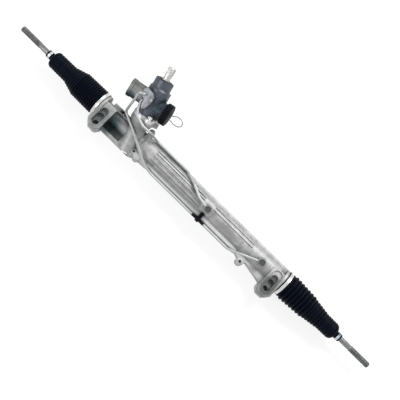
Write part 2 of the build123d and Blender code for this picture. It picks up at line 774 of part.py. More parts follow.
def tie_rod_end(sign, side):
    """Socket, seat, tie rod and bellows clip of one side."""
    plane = outward(sign)
    centre = plane.origin
    clip_distance = clip_right if sign > 0 else clip_left
    with BuildPart() as socket:
        turned(plane, [(-socket_back, 0), (-socket_back, socket_radius - 3),
                       (-socket_back + 3, socket_radius), (socket_front - 4, socket_radius),
                       (socket_front, socket_radius - 3), (socket_front, 0)])
        cavity = liner_radius + slide_clearance
        with BuildSketch(plane, mode=Mode.PRIVATE) as hollow:
            with BuildLine():
                CenterArc((0, 0), cavity, 180, -180 + degrees(acos(lip_x / cavity)))
                Polyline((lip_x, sqrt(cavity ** 2 - lip_x ** 2)),
                         (socket_front + 1, lip_radius + 1.6), (socket_front + 1, 0),
                         (-cavity, 0))
            make_face()
        revolve(hollow.sketch, axis=rack_axis, mode=Mode.SUBTRACT)
        # two spanner flats
        for turn in (0, 180):
            with BuildSketch(Plane(origin=centre + X_DIR * sign * -18,
                                   x_dir=(0, 1, 0), z_dir=(sign, 0, 0))):
                with Locations(Location((0, 0), turn)):
                    with Locations((0, socket_radius)):
                        Rectangle(3 * socket_radius, 5)
            extrude(amount=14, mode=Mode.SUBTRACT)
    save(socket, f"ball_socket_{side}")

    inner_radius = ball_radius + slide_clearance
    with BuildPart() as seat:
        with BuildSketch(plane, mode=Mode.PRIVATE) as shell:
            with BuildLine():
                CenterArc((0, 0), liner_radius, 180, -180 + degrees(acos(seat_mouth / liner_radius)))
                CenterArc((0, 0), inner_radius, 180, -180 + degrees(acos(seat_mouth / inner_radius)))
                Line((-liner_radius, 0), (-inner_radius, 0))
                Line((seat_mouth, sqrt(liner_radius ** 2 - seat_mouth ** 2)),
                     (seat_mouth, sqrt(inner_radius ** 2 - seat_mouth ** 2)))
            make_face()
        revolve(shell.sketch, axis=rack_axis)
    save(seat, f"ball_seat_{side}")

    neck_x = sqrt(ball_radius ** 2 - neck_radius ** 2)
    with BuildPart() as tie_rod:
        with BuildSketch(plane, mode=Mode.PRIVATE) as ball:
            with BuildLine():
                CenterArc((0, 0), ball_radius, 180, -180 + degrees(acos(neck_x / ball_radius)))
                Polyline((neck_x, neck_radius), (neck_x + 2, neck_radius), (neck_x + 2, 0),
                         (-ball_radius, 0))
            make_face()
        revolve(ball.sketch, axis=rack_axis)
        turned(plane, [(neck_x + 1, 0), (neck_x + 1, neck_radius), (20, neck_radius),
                       (24, rod_radius),
                       (clip_distance - 3.6, rod_radius), (clip_distance - 3, rod_radius - 0.8),
                       (clip_distance + 3, rod_radius - 0.8), (clip_distance + 3.6, rod_radius),
                       (rod_length - thread_length - 6, rod_radius),
                       (rod_length - thread_length - 4, thread_radius - 1.2),
                       (rod_length - thread_length - 1, thread_radius - 1.2),
                       (rod_length - thread_length, thread_radius),
                       (rod_length - 1.5, thread_radius), (rod_length, thread_radius - 1.5),
                       (rod_length, 0)])
    save(tie_rod, f"tie_rod_{side}")

    with BuildPart() as clip:
        clip_plane = Plane(origin=centre + X_DIR * sign * (clip_distance - 3.5),
                           x_dir=(0, 1, 0), z_dir=(sign, 0, 0))
        ring(clip_plane, small_cuff_radius + 1.3, small_cuff_radius, 7)
        with BuildSketch(clip_plane):
            for side_angle in (60, 78):
                with Locations(Location((0, 0), side_angle)):
                    with Locations((small_cuff_radius + 3.2, 0)):
                        Rectangle(4.4, 1.3)
        extrude(amount=7)
    save(clip, f"bellows_clip_{side}")


for sign, side in ((-1, "left"), (1, "right")):
    tie_rod_end(sign, side)

# ---- bellows and their large clamps --------------------------------------------------
def pleats(start, end, count, first, last, depth):
    """Crests and valleys from start to end, their crest radius going from first to last."""
    points = []
    pitch = (end - start) / count
    for n in range(count):
        crest = first + (last - first) * (n + 0.5) / count
        points.append((start + n * pitch, crest - depth))
        points.append((start + (n + 0.5) * pitch, crest))
    points.append((end, last - depth))
    return points


def bellows(sign, side, cuff_start, zones):
    """One pleated boot from its housing seat to the groove in its tie rod. Its zones start
    and end at shares of its length from the seat to the small cuff."""
    centre = ball_right if sign > 0 else ball_left
    clip_distance = clip_right if sign > 0 else clip_left
    small = abs(centre) + clip_distance - small_cuff_length / 2
    seat_end = right_end if sign > 0 else left_end
    zones = [(seat_end + (small - seat_end) * start, seat_end + (small - seat_end) * end, *rest)
             for start, end, *rest in zones]
    plane = Plane(origin=(0, rack_y, rack_z), x_dir=(sign, 0, 0), z_dir=(0, -sign, 0))
    outer = [(cuff_start, cuff_radius), (seat_end - 1, cuff_radius)]
    for zone in zones:
        outer += pleats(*zone)
    outer += [(small, small_cuff_radius), (small + small_cuff_length, small_cuff_radius)]
    inner = [(small + small_cuff_length, rod_radius + seat_gap),
             (small, rod_radius + seat_gap)]
    for start, end, count, first, last, depth in reversed(zones):
        inner.append((end - 1, last - depth - bellows_wall))
        inner.append((start + 1, first - depth - bellows_wall))
    inner[-1] = (seat_end + 2, inner[-1][1])
    inner += [(seat_end + 0.3, seat_radius + seat_gap), (cuff_start, seat_radius + seat_gap)]
    with BuildPart() as boot:
        turned(plane, outer + inner)
    save(boot, f"bellows_{side}")


def clamp_band(sign, side, start):
    """Crimped band round the bellows' large cuff, with its raised ear."""
    with BuildPart() as clamp:
        plane = Plane(origin=(sign * start, rack_y, rack_z), x_dir=(0, 1, 0),
                      z_dir=(sign, 0, 0))
        ring(plane, cuff_radius + 1.2, cuff_radius, 8.5)
        with BuildSketch(plane):
            with Locations(Location((0, 0), 25)):
                with Locations((cuff_radius + 2.4, 0)):
                    Rectangle(3.6, 7)
        extrude(amount=8.5)
    save(clamp, f"bellows_clamp_{side}")


bellows(-1, "left", bolt_x + eye_width / 2 + cuff_gap, [
    (0.0, 0.423, 11, 37.2, 36.0, 3.4),
    (0.423, 0.607, 4, 34.5, 25.5, 2.6),
    (0.607, 0.952, 7, 24.4, 23.8, 1.2)])
bellows(1, "right", right_end - seat_length_right + 2, [
    (0.01, 0.452, 7, 38.3, 33.5, 5.4),
    (0.452, 0.712, 5, 31.5, 25.0, 3.0),
    (0.712, 0.938, 5, 24.2, 23.6, 1.2)])
clamp_band(-1, "left", bolt_x + eye_width / 2 + cuff_gap + 1)
clamp_band(1, "right", right_end - seat_length_right + 4)

# ---- valve housing ------------------------------------------------------------------
with BuildPart() as valve_housing:
    with BuildSketch(tower(head_face)):
        flange_outline()
    extrude(amount=flange_thickness)
    disc(tower(head_face), barrel_radius, collar_start - head_face)
    with BuildSketch(tower(collar_start)):
        Circle(barrel_radius)
    with BuildSketch(tower(collar_start + 5)):
        Circle(collar_radius)
    loft()
    disc(tower(collar_start + 5), collar_radius, tower_top - collar_start - 5)
    with BuildSketch(tower_left(arm_level, 12)):
        SlotCenterToCenter(port_pitch, 2 * arm_lobe_radius, rotation=90)
    extrude(amount=arm_reach - 12)
    with BuildSketch(tower_left(arm_level, arm_reach - 9)):
        SlotCenterToCenter(port_pitch, 2 * arm_lobe_radius + 3, rotation=90)
    extrude(amount=9)
    disc(tower_right(coil_level, 8), coil_radius + 2, coil_start - 8)
    with BuildSketch(tower_front(plate_level, 12)):
        with BuildLine():
            Polyline(*plate_corners, close=True)
        make_face()
    extrude(amount=pad_height - 12)
    # rib down the front right of the barrel
    with BuildSketch(tower(head_face)):
        with Locations(Location((0, 0), flange_bolt_angles[1])):
            with Locations((barrel_radius, 0)):
                Rectangle(8, 5)
    extrude(amount=collar_start - head_face)
    # bores
    disc(tower(head_face - 1), valve_bore, shaft_bearing_start - head_face + 1, Mode.SUBTRACT)
    disc(tower(shaft_bearing_start - 1), shaft_radius + 4,
         shaft_seal_start - shaft_bearing_start + 1, Mode.SUBTRACT)
    disc(tower(shaft_seal_start), shaft_radius + 6, cover_start - shaft_seal_start + 1,
         Mode.SUBTRACT)
    disc(tower(cover_start), collar_radius - 2, 20, Mode.SUBTRACT)
    for level, radius in ((arm_level + port_pitch / 2, pressure_port_radius),
                          (arm_level - port_pitch / 2, return_port_radius)):
        disc(tower_left(level, arm_reach), radius, -port_depth, Mode.SUBTRACT)
        disc(tower_left(level, arm_reach - port_depth + 1), port_drill_radius,
             -(arm_reach - port_depth - 10), Mode.SUBTRACT)
    with BuildSketch(tower(head_face)):
        flange_holes()
    extrude(amount=flange_thickness, mode=Mode.SUBTRACT)
    # bolt heads' clearance cut into the barrel above the flange
    with BuildSketch(tower(head_face + flange_thickness)):
        for angle in flange_bolt_angles:
            with Locations(Location((0, 0), angle)):
                with Locations((flange_bolt_circle, 0)):
                    Circle(screw_flange_radius + screw_head_clearance)
    extrude(amount=screw_pocket_height, mode=Mode.SUBTRACT)
save(valve_housing, "valve_housing")

with BuildPart() as flange_bolts:
    for angle in flange_bolt_angles:
        with BuildSketch(tower(head_face + flange_thickness)):
            with Locations(Location((0, 0), angle)):
                with Locations((flange_bolt_circle, 0)):
                    Circle(screw_flange_radius)
        extrude(amount=screw_flange_thickness)
        with BuildSketch(tower(head_face + flange_thickness + screw_flange_thickness)):
            with Locations(Location((0, 0), angle)):
                with Locations((flange_bolt_circle, 0)):
                    RegularPolygon(screw_head_radius, 6)
        extrude(amount=screw_head_height)
        with BuildSketch(tower(head_face + flange_thickness)):
            with Locations(Location((0, 0), angle)):
                with Locations((flange_bolt_circle, 0)):
                    Circle(flange_bolt_radius)
        extrude(amount=-(flange_thickness + flange_bolt_depth - 2))
save(flange_bolts, "flange_bolts")

# ---- valve coil, its cap and the wire bail -------------------------------------------
with BuildPart() as valve_coil:
    with BuildSketch(tower_right(coil_level, coil_start)):
        Circle(coil_radius)
    extrude(amount=coil_face - coil_start)
    with BuildSketch(tower_right(coil_level, coil_start)):
        RegularPolygon(coil_radius + 3, 6)
    extrude(amount=4)
save(valve_coil, "valve_coil")

with BuildPart() as coil_cap:
    disc(tower_right(coil_level, coil_face), cap_radius, cap_thickness)
    fillet(coil_cap.edges().filter_by(GeomType.CIRCLE).sort_by(
        Axis((0, 0, 0), to_right))[-1], 2.5)
    with BuildSketch(tower_right(coil_level, coil_face)):
        with PolarLocations(cap_radius, cap_ribs):
            Rectangle(2.4, 3.2)
    extrude(amount=cap_thickness - 4, mode=Mode.SUBTRACT)
save(coil_cap, "coil_cap")

bail_front = 10.0


def bail_point(reach, level):
    """Point of the wire bail, this far to the right of the pinion axis."""
    return pinion_point + up_pinion * level + to_right * reach + to_pinion * bail_front


bail_start = coil_face + cap_thickness
with BuildPart() as wire_bail:
    with BuildLine() as bail_line:
        FilletPolyline(bail_point(bail_start + 2 * seat_gap, 98.5),
                       bail_point(bail_start + 22, 91), bail_point(bail_start + 40, 96),
                       bail_point(bail_start + 39, 109), bail_point(bail_start + 20, 114),
                       bail_point(bail_start + 2 * seat_gap, 104.5), radius=4)
    with BuildSketch(Plane(origin=bail_line.line @ 0, z_dir=bail_line.line % 0)):
        Circle(wire_radius)
    sweep(path=bail_line.line)
save(wire_bail, "wire_bail")

# ---- pipe plate, pipes, banjo fittings and clip ---------------------------------------
plate_top = pad_height + plate_thickness
with BuildPart() as pipe_plate:
    with BuildSketch(tower_front(plate_level, pad_height)) as plate_shape:
        with BuildLine():
            Polyline(*plate_corners, close=True)
        make_face()
        fillet(plate_shape.vertices(), plate_rounding)
    extrude(amount=plate_thickness)
    chamfer(pipe_plate.faces().sort_by(Axis((0, 0, 0), to_pinion))[-1].edges(), 1.2)
    with BuildSketch(tower_front(plate_level, plate_top)):
        with Locations((plate_bolt_right, plate_bolt_up)):
            Circle(flange_bolt_radius)
    extrude(amount=-plate_thickness, mode=Mode.SUBTRACT)
save(pipe_plate, "pipe_plate")

with BuildPart() as plate_bolt:
    with BuildSketch(tower_front(plate_level, plate_top)):
        with Locations((plate_bolt_right, plate_bolt_up)):
            RegularPolygon(screw_head_radius, 6)
    extrude(amount=6)
    with BuildSketch(tower_front(plate_level, plate_top)):
        with Locations((plate_bolt_right, plate_bolt_up)):
            Circle(flange_bolt_radius)
    extrude(amount=-plate_thickness)
save(plate_bolt, "plate_bolt")


def at(left, level, front):
    """Point by its place on the tower: to the left, up the axis and to the front."""
    return pinion_point + up_pinion * level + to_left * left + to_pinion * front


banjo_radius = 10.5
banjo_height = 11.0
banjo_reach = banjo_radius + 0.2
banjo_centres = {}
for name, x in (("left", port_left_x), ("right", port_right_x)):
    banjo_centres[name] = port_plane(x, port_boss_reach + banjo_height / 2).origin

pipe_front = pad_height + plate_thickness / 2
strip_line_y = rack_y - strip_front - pipe_radius - seat_gap
strip_line_z = rack_z + 8
crown_z = rack_z + port_boss_reach + banjo_height / 2


def pipe(name, points, radius):
    """One steel pipe through these points."""
    with BuildPart() as piece:
        with BuildLine() as line:
            FilletPolyline(*points, radius=radius)
        with BuildSketch(Plane(origin=line.line @ 0, z_dir=line.line % 0)):
            Circle(pipe_radius)
        sweep(path=line.line)
    save(piece, name)


right_banjo = banjo_centres["right"]
left_banjo = banjo_centres["left"]
pipe("pipe_right", [
    at(26.5, 113, pipe_front), at(29, 96, pipe_front), at(31, 78, pipe_front),
    Vector(-272, 68, 86.5), Vector(-205, 37.5, 91), Vector(-140, 8, 60),
    Vector(-112, strip_line_y, strip_line_z), Vector(164, strip_line_y, strip_line_z),
    Vector(196, 15, 70),
    right_banjo + (Vector(196, 15, 70) - right_banjo).normalized() * banjo_reach], 9)
pipe("pipe_left", [
    at(16.5, 110, pipe_front), at(14, 90, pipe_front + 2), at(8, 68, 46), at(-20, 53, 47),
    at(-42, 48, 40), Vector(-158, rack_y + 31, rack_z + 17),
    Vector(-48, rack_y + 31, rack_z + 17), Vector(-10, 60, crown_z - 4),
    Vector(22, 44, crown_z),
    left_banjo + (Vector(22, 44, crown_z) - left_banjo).normalized() * banjo_reach], 9)

with BuildPart() as banjo_eyes:
    for x in (port_left_x, port_right_x):
        ring(port_plane(x, port_boss_reach), banjo_radius, 6.0, banjo_height)
save(banjo_eyes, "banjo_eyes")

with BuildPart() as banjo_bolts:
    for x in (port_left_x, port_right_x):
        disc(port_plane(x, port_boss_reach - 8), 6.0, banjo_height + 8)
        with BuildSketch(port_plane(x, port_boss_reach + banjo_height)):
            RegularPolygon(9.5, 6)
        extrude(amount=6)
save(banjo_bolts, "banjo_bolts")

clip_x = 57.0
clip_arm = 10.0
clip_bar = 40.0
clip_opening = 2.0         # the clip's jaws end this far before the strip
with BuildPart() as pipe_clip:
    with BuildSketch(across(clip_x - clip_arm / 2)):
        with Locations((strip_line_y - rack_y, strip_line_z - rack_z)):
            Circle(pipe_radius + 2.6)
        with BuildLine():
            Polyline((strip_line_y - rack_y - 4, strip_height / 2 + seat_gap),
                     (strip_line_y - rack_y - 4, strip_height / 2 + 4),
                     (-28, strip_height / 2 + 4.4), (-23.6, tube_radius - 6.3),
                     (-21, tube_radius - 8.8), (-24.6, tube_radius - 13),
                     (-27, strip_height / 2 + seat_gap), close=True)
        make_face()
        with Locations((-strip_front - clip_opening, 0)):
            Rectangle(20, strip_height + 2 * seat_gap, align=(Align.MIN, Align.CENTER),
                      mode=Mode.SUBTRACT)
    extrude(amount=clip_arm)
    with BuildSketch(Plane.XY.offset(rack_z + strip_height / 2 + seat_gap)):
        with Locations((clip_x, strip_line_y - 1)):
            Rectangle(clip_bar, 6.5)
    extrude(amount=4.2)
    disc(Plane(origin=(clip_x - clip_bar / 2 - 1, strip_line_y, strip_line_z),
               x_dir=(0, 1, 0), z_dir=(1, 0, 0)), pipe_radius, clip_bar + 2, Mode.SUBTRACT)
save(pipe_clip, "pipe_clip")
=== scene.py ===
"""Steering rack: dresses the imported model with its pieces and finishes, and sets the stage."""
import math

import bmesh
import bpy
import numpy as np
from bpy.props import FloatProperty, FloatVectorProperty, IntProperty, PointerProperty
from bpy.types import NodeSocket, Operator, Panel, PropertyGroup
from mathutils import Matrix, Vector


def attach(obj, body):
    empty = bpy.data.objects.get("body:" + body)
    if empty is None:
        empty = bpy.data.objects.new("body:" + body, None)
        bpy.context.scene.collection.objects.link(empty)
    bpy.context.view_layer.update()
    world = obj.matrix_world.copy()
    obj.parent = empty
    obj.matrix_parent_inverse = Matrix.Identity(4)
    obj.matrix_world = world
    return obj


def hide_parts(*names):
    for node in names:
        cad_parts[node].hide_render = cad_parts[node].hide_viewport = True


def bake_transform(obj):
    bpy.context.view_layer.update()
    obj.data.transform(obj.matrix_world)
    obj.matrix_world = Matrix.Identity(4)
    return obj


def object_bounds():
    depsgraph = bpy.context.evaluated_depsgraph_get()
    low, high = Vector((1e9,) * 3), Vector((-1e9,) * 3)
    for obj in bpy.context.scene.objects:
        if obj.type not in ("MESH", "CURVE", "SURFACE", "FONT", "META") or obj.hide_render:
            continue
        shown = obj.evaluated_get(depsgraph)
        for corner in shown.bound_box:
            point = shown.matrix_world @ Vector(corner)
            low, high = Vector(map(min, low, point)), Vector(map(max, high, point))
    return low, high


bl_info = {
    "name": "Steering rack",
    "version": (1, 0, 0),
    "blender": (4, 5, 0),
    "location": "View3D > Sidebar > Steering rack",
    "description": "Boots, tie rods, screws, trim, pipes, finishes and stage of a steering rack",
    "category": "Object",
}

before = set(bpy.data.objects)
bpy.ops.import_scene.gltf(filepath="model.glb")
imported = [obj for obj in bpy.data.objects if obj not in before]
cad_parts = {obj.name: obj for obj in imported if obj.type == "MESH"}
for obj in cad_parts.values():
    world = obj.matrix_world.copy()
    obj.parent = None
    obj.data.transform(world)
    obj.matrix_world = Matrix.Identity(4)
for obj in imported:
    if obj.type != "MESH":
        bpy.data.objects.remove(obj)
cad_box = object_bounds()

MM = 0.001
SIGNS = {"left": -1.0, "right": 1.0}

# places that the frame's pieces are built to, in millimetres. Those with a side are
# distances from the origin, or from the ball, outwards along the rack
RACK_AXIS = np.array([0.0, 47.0, 40.0])
BALL_DISTANCE = {"left": 413.0, "right": 439.0}
CLIP_DISTANCE = {"left": 101.0, "right": 92.0}
ROD_LENGTH = 202.0
ROD_RADIUS = 7.5
THREAD_RADIUS = 8.0
THREAD_LENGTH = 66.0
CUFF_RADIUS = 35.0
SEAT_RADIUS = 31.8
SMALL_CUFF_RADIUS = 10.4
SMALL_CUFF_LENGTH = 16.0
CLIP_WIDTH = 7.0
HOUSING_END = {"left": 338.0, "right": 346.0}
CUFF_START = {"left": 326.4, "right": 328.0}
CLAMP_START = {"left": 327.4, "right": 330.0}

# the valve tower: its lean to the left, its rise to the rear, its directions and its foot,
# then sizes of what stands on it
LEAN = math.radians(11)
RISE = math.radians(32)
UP = np.array([-math.sin(LEAN), math.cos(LEAN) * math.cos(RISE), math.cos(LEAN) * math.sin(RISE)])
FRONT = np.array([0.0, -math.sin(RISE), math.cos(RISE)])
LEFT = np.array([-math.cos(LEAN), -math.sin(LEAN) * math.cos(RISE),
                 -math.sin(LEAN) * math.sin(RISE)])
PINION = np.array([-211.0, 47.0, 40.0]) + FRONT * 17.1
FLANGE_TOP = 72.0
FLANGE_SCREW_CIRCLE = 36.0
PLATE_FRONT = 42.0
SHAFT_RADIUS = 10.52
TOOTH_HEIGHT = 0.42
CAP_RADIUS = 29.4
RIB_DEPTH = 1.7
WIRE_RADIUS = 1.3

# the cylinder's two ports: places along the rack, direction, heights of their unions' middle
# and top, how far from the middle a pipe ends, and the radius of the pipes' bends
PORT_X = {"left": 58.0, "right": 251.0}
PORT_OUT = np.array([0.0, -math.sin(math.radians(15)), math.cos(math.radians(15))])
UNION_MIDDLE = 37.5
UNION_TOP = 43.0
UNION_REACH = 10.3
BEND_RADIUS = 9.0

# the stage, in metres
FLOOR_SIZE = 12.0
FLOOR_TONE = 0.34
FLOOR_GLOW = 0.8
LAMP_TARGET = (0.0, 0.05, 0.0)
SIDE_LAMP_SHARE = 0.3

# the finishes: samples of rounded edges and corners, and how far gloss varies and dirt dulls it
SHADER_SAMPLES = 6
UNEVEN_GLOSS = 0.12
GRIME_DULLS = 0.25
FINISHES = {}

# how near two distances along the rack count as one
SAME_PLACE = 1e-6

# pleats of each boot: start and end as shares of the length from the housing's end to the
# small cuff, count, first crest, last crest, depth
PLEATS = {
    "left": ((0.0, 0.423, 11, 37.2, 36.0, 3.4), (0.423, 0.607, 4, 34.5, 25.5, 2.6),
             (0.607, 0.952, 7, 24.4, 23.8, 1.2)),
    "right": ((0.01, 0.452, 7, 38.3, 33.5, 5.4), (0.452, 0.712, 5, 31.5, 25.0, 3.0),
              (0.712, 0.938, 5, 24.2, 23.6, 1.2)),
}
# zone and pleat of the two seams between a boot's three lengths
SEAM_PLEATS = {"left": ((2, 1), (2, 4)), "right": ((1, 4), (2, 2))}


def small_cuff_start(side):
    """Distance along the rack from the origin to where a boot's small cuff starts."""
    return BALL_DISTANCE[side] + CLIP_DISTANCE[side] - SMALL_CUFF_LENGTH / 2


def boot_place(side, share):
    """Distance along the rack from the origin at a share of a boot's pleated length."""
    return HOUSING_END[side] + (small_cuff_start(side) - HOUSING_END[side]) * share


def boot_seams(side):
    """Distances along the rack of the two seams between a boot's three lengths."""
    places = []
    for zone, pleat in SEAM_PLEATS[side]:
        start, end, count = PLEATS[side][zone][:3]
        places.append(boot_place(side, start + (end - start) * pleat / count))
    return places


def on_tower(left, level, front):
    """Place on the tower: to the left of its axis, up it, and to the front."""
    return PINION + LEFT * left + UP * level + FRONT * front


def over_port(side, height):
    """Place over one of the cylinder's ports, at a height above the rack's axis."""
    return RACK_AXIS + [PORT_X[side], 0, 0] + PORT_OUT * height


# ---- surfaces ----
def turn_angles(columns):
    """Angles of a full turn in equal steps."""
    return np.linspace(0, 2 * np.pi, columns, endpoint=False)


def unit(vector):
    vector = np.asarray(vector, float)
    return vector / np.linalg.norm(vector)


def square_to(axis):
    """Two unit vectors square to the axis and to each other."""
    axis = unit(axis)
    helper = (0, 0, 1) if abs(axis[2]) < 0.9 else (1, 0, 0)
    first = unit(np.cross(helper, axis))
    return first, np.cross(axis, first)


def lathe(origin, axis, distance, radius, columns, first=None):
    """Grid of a turned surface: origin + axis * distance + radius * (cos a, sin a) across it.
    distance and radius hold one value a row, or a grid where the section isn't round. first
    is where a is 0, square to the axis."""
    axis = unit(axis)
    first, second = square_to(axis) if first is None else (first, np.cross(axis, first))
    angle = turn_angles(columns)[:, None]
    distance, radius = (value[:, None] if value.ndim == 1 else value
                        for value in map(np.asarray, (distance, radius)))
    around = np.cos(angle) * first + np.sin(angle) * second
    return origin + distance[..., None] * axis + radius[..., None] * around


def rack_lathe(side, start, distance, radius, columns):
    """Grid turned round the rack's axis, outwards from a distance along it."""
    sign = SIGNS[side]
    return lathe(RACK_AXIS + [sign * start, 0, 0], (sign, 0, 0), distance, radius, columns,
                 first=np.array([0.0, 1.0, 0.0]))


def carried(path, radius, columns, helper):
    """Grid of a round section carried along a path of points: path + radius * (cos a, sin a)
    in the plane square to it, with its ends drawn in to a point. The helper is a direction
    that no part of the path follows."""
    along = np.gradient(path, axis=0)
    along /= np.linalg.norm(along, axis=1)[:, None]
    first = np.cross(helper, along)
    first /= np.linalg.norm(first, axis=1)[:, None]
    second = np.cross(along, first)
    angle = turn_angles(columns)[:, None]
    ring = np.cos(angle) * first[:, None] + np.sin(angle) * second[:, None]
    grid = path[:, None] + radius * ring
    ends = [np.tile(path[place], (1, columns, 1)) for place in (0, -1)]
    return np.concatenate([ends[0], grid, ends[1]])


def rounded(corners, radius, closed=False):
    """Points along straight runs whose corners are rounded by (1 - s)^2 a + 2 s (1 - s) c + s^2 b,
    where a and b lie radius * tan(turn / 2) before and after the corner c."""
    corners = np.array(corners, float)
    share = np.linspace(0, 1, 6)[:, None]
    last = len(corners) - 1
    runs = []
    for place in range(last + 1) if closed else range(1, last):
        corner = corners[place]
        back, ahead = corners[place - 1] - corner, corners[place - last] - corner
        turn = math.pi - math.acos(np.clip(np.dot(unit(back), unit(ahead)), -1, 1))
        cut = min(radius * math.tan(turn / 2), 0.48 * np.linalg.norm(back),
                  0.48 * np.linalg.norm(ahead))
        runs.append((1 - share) ** 2 * (corner + unit(back) * cut)
                    + 2 * share * (1 - share) * corner + share ** 2 * (corner + unit(ahead) * cut))
    ends = ([], []) if closed else ([corners[0][None]], [corners[-1][None]])
    return np.vstack(ends[0] + runs + ends[1])


def smooth_path(points):
    """Points on a smooth curve through the given ones: cubic pieces whose slope at each point
    is half the chord between its neighbours."""
    points = np.asarray(points, float)
    padded = np.vstack([2 * points[0] - points[1], points, 2 * points[-1] - points[-2]])
    before, start, end, after = padded[:-3], padded[1:-2], padded[2:-1], padded[3:]
    t = np.linspace(0, 1, 12, endpoint=False)[None, :, None]
    curve = 0.5 * (2 * start[:, None] + (end - before)[:, None] * t
                   + (2 * before - 5 * start + 4 * end - after)[:, None] * t ** 2
                   + (3 * start - before - 3 * end + after)[:, None] * t ** 3)
    return np.vstack([curve.reshape(-1, 3), points[-1]])


def filled_rows(points, step):
    """Distance and radius of a profile's corners, with rows added along its long runs."""
    points = np.asarray(points, float)
    lengths = np.linalg.norm(np.diff(points, axis=0), axis=1)
    counts = np.maximum(1, np.ceil(lengths / step).astype(int))
    runs = [np.linspace(points[i], points[i + 1], counts[i], endpoint=False)
            for i in range(len(counts))]
    return np.vstack(runs + [points[-1:]]).T


def make_piece(name, grids, body, finish, stands_for=None, closed=False, sharp=32.0):
    """A mesh of one or more grids, each joined round its columns, and along its rows where
    closed. Sizes come in millimetres. It stands for a node of the frame where one is given."""
    corners, faces, first = [], [], 0
    for grid in grids:
        rows, columns = grid.shape[:2]
        index = first + np.arange(rows * columns).reshape(rows, columns)
        low = index if closed else index[:-1]
        high = np.roll(index, -1, 0) if closed else index[1:]
        faces.append(np.stack([low, high, np.roll(high, -1, 1), np.roll(low, -1, 1)],
                              -1).reshape(-1, 4))
        corners.append(grid.reshape(-1, 3) * MM)
        first += rows * columns
    mesh = bpy.data.meshes.new(name)
    mesh.from_pydata(np.vstack(corners), [], np.vstack(faces))
    shape = bmesh.new()
    shape.from_mesh(mesh)
    bmesh.ops.remove_doubles(shape, verts=shape.verts, dist=1e-7)
    bmesh.ops.recalc_face_normals(shape, faces=shape.faces)
    shape.to_mesh(mesh)
    shape.free()
    mesh.shade_smooth()
    mesh.set_sharp_from_angle(angle=math.radians(sharp))
    piece = bpy.data.objects.new(name, mesh)
    bpy.context.collection.objects.link(piece)
    mesh.materials.append(FINISHES[finish])
    if body:
        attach(piece, body)
    if stands_for:
        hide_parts(stands_for)
    return piece


# ---- effects that the finishes share, each giving masks, heights and normals only ----
def feed(tree, value, socket):
    """Links a value that is a socket, and sets any other as the socket's own."""
    if isinstance(value, NodeSocket):
        tree.links.new(value, socket)
    else:
        socket.default_value = value


def add_node(tree, kind, inputs=(), **traits):
    """A shader node with its traits set, then its inputs fed by their labels or places."""
    node = tree.nodes.new("ShaderNode" + kind)
    for trait, value in traits.items():
        setattr(node, trait, value)
    for place, value in dict(inputs).items():
        feed(tree, value, node.inputs[place])
    return node


def math_node(tree, operation, *values, clamp=False):
    """A math node of sockets or numbers, giving its result socket."""
    node = add_node(tree, "Math", enumerate(values), operation=operation, use_clamp=clamp)
    return node.outputs[0]


def vector_node(tree, operation, *values):
    """A vector math node of sockets or vectors, giving its result socket."""
    node = add_node(tree, "VectorMath", enumerate(values), operation=operation)
    return node.outputs["Value" if operation in ("DOT_PRODUCT", "LENGTH") else "Vector"]


def noise_node(tree, vector, scale, detail, roughness, stretch=None):
    """A noise texture's value, on coordinates stretched where asked."""
    if stretch:
        vector = add_node(tree, "Mapping", {"Vector": vector, "Scale": stretch}).outputs[0]
    inputs = {"Vector": vector, "Scale": scale, "Detail": detail, "Roughness": roughness}
    return add_node(tree, "TexNoise", inputs).outputs["Fac"]


def edge_wear_and_sheen(tree, place, radius):
    """Mask of the edges that rubbing has brightened, also used to paint a highlight on the boots'
    pleat crests: where a rounded normal leaves the flat one, broken up by noise. Then the
    rounded normal."""
    bevel = add_node(tree, "Bevel", {"Radius": radius}, samples=SHADER_SAMPLES).outputs[0]
    flat = add_node(tree, "NewGeometry").outputs["Normal"]
    along = vector_node(tree, "DOT_PRODUCT", bevel, flat)
    away = math_node(tree, "SUBTRACT", 1.0, along)
    mask = math_node(tree, "MULTIPLY", away, 5.0, clamp=True)
    patchy = noise_node(tree, place, 160.0, 4.0, 0.6)
    patchy = math_node(tree, "MULTIPLY_ADD", patchy, 2.4, -0.6, clamp=True)
    return math_node(tree, "MULTIPLY", mask, patchy), bevel


def corner_grime_and_shade(tree, place, reach):
    """Mask of dirt and painted shade in corners: how much of the sky a point is shut off from,
    broken up by noise."""
    shut = add_node(tree, "AmbientOcclusion", {"Distance": reach}, samples=SHADER_SAMPLES)
    corner = math_node(tree, "SUBTRACT", 1.0, shut.outputs["AO"])
    patchy = noise_node(tree, place, 60.0, 5.0, 0.65)
    patchy = math_node(tree, "MULTIPLY_ADD", patchy, 1.2, 0.25, clamp=True)
    return (math_node(tree, "MULTIPLY", corner, patchy, clamp=True),)


def cast_skin(tree, place, scale):
    """A cast or moulded skin: height of its pits and fine grain, and tone in coarse waves."""
    fine = noise_node(tree, place, scale, 4.0, 0.6)
    coarse = noise_node(tree, place, 55.0, 6.0, 0.68)
    inputs = {"Vector": place, "Scale": math_node(tree, "MULTIPLY", scale, 0.45)}
    pits = add_node(tree, "TexVoronoi", inputs, feature="SMOOTH_F1")
    return math_node(tree, "MULTIPLY_ADD", pits.outputs["Distance"], 0.5, fine), coarse


def tool_lines(tree, place):
    """The fine lines that a tool leaves round X: noise that changes faster along X than across
    it, as a height and as a coarser tone."""
    return (noise_node(tree, place, 1.0, 3.0, 0.6, (2600.0, 180.0, 180.0)),
            noise_node(tree, place, 1.0, 4.0, 0.6, (90.0, 45.0, 45.0)))


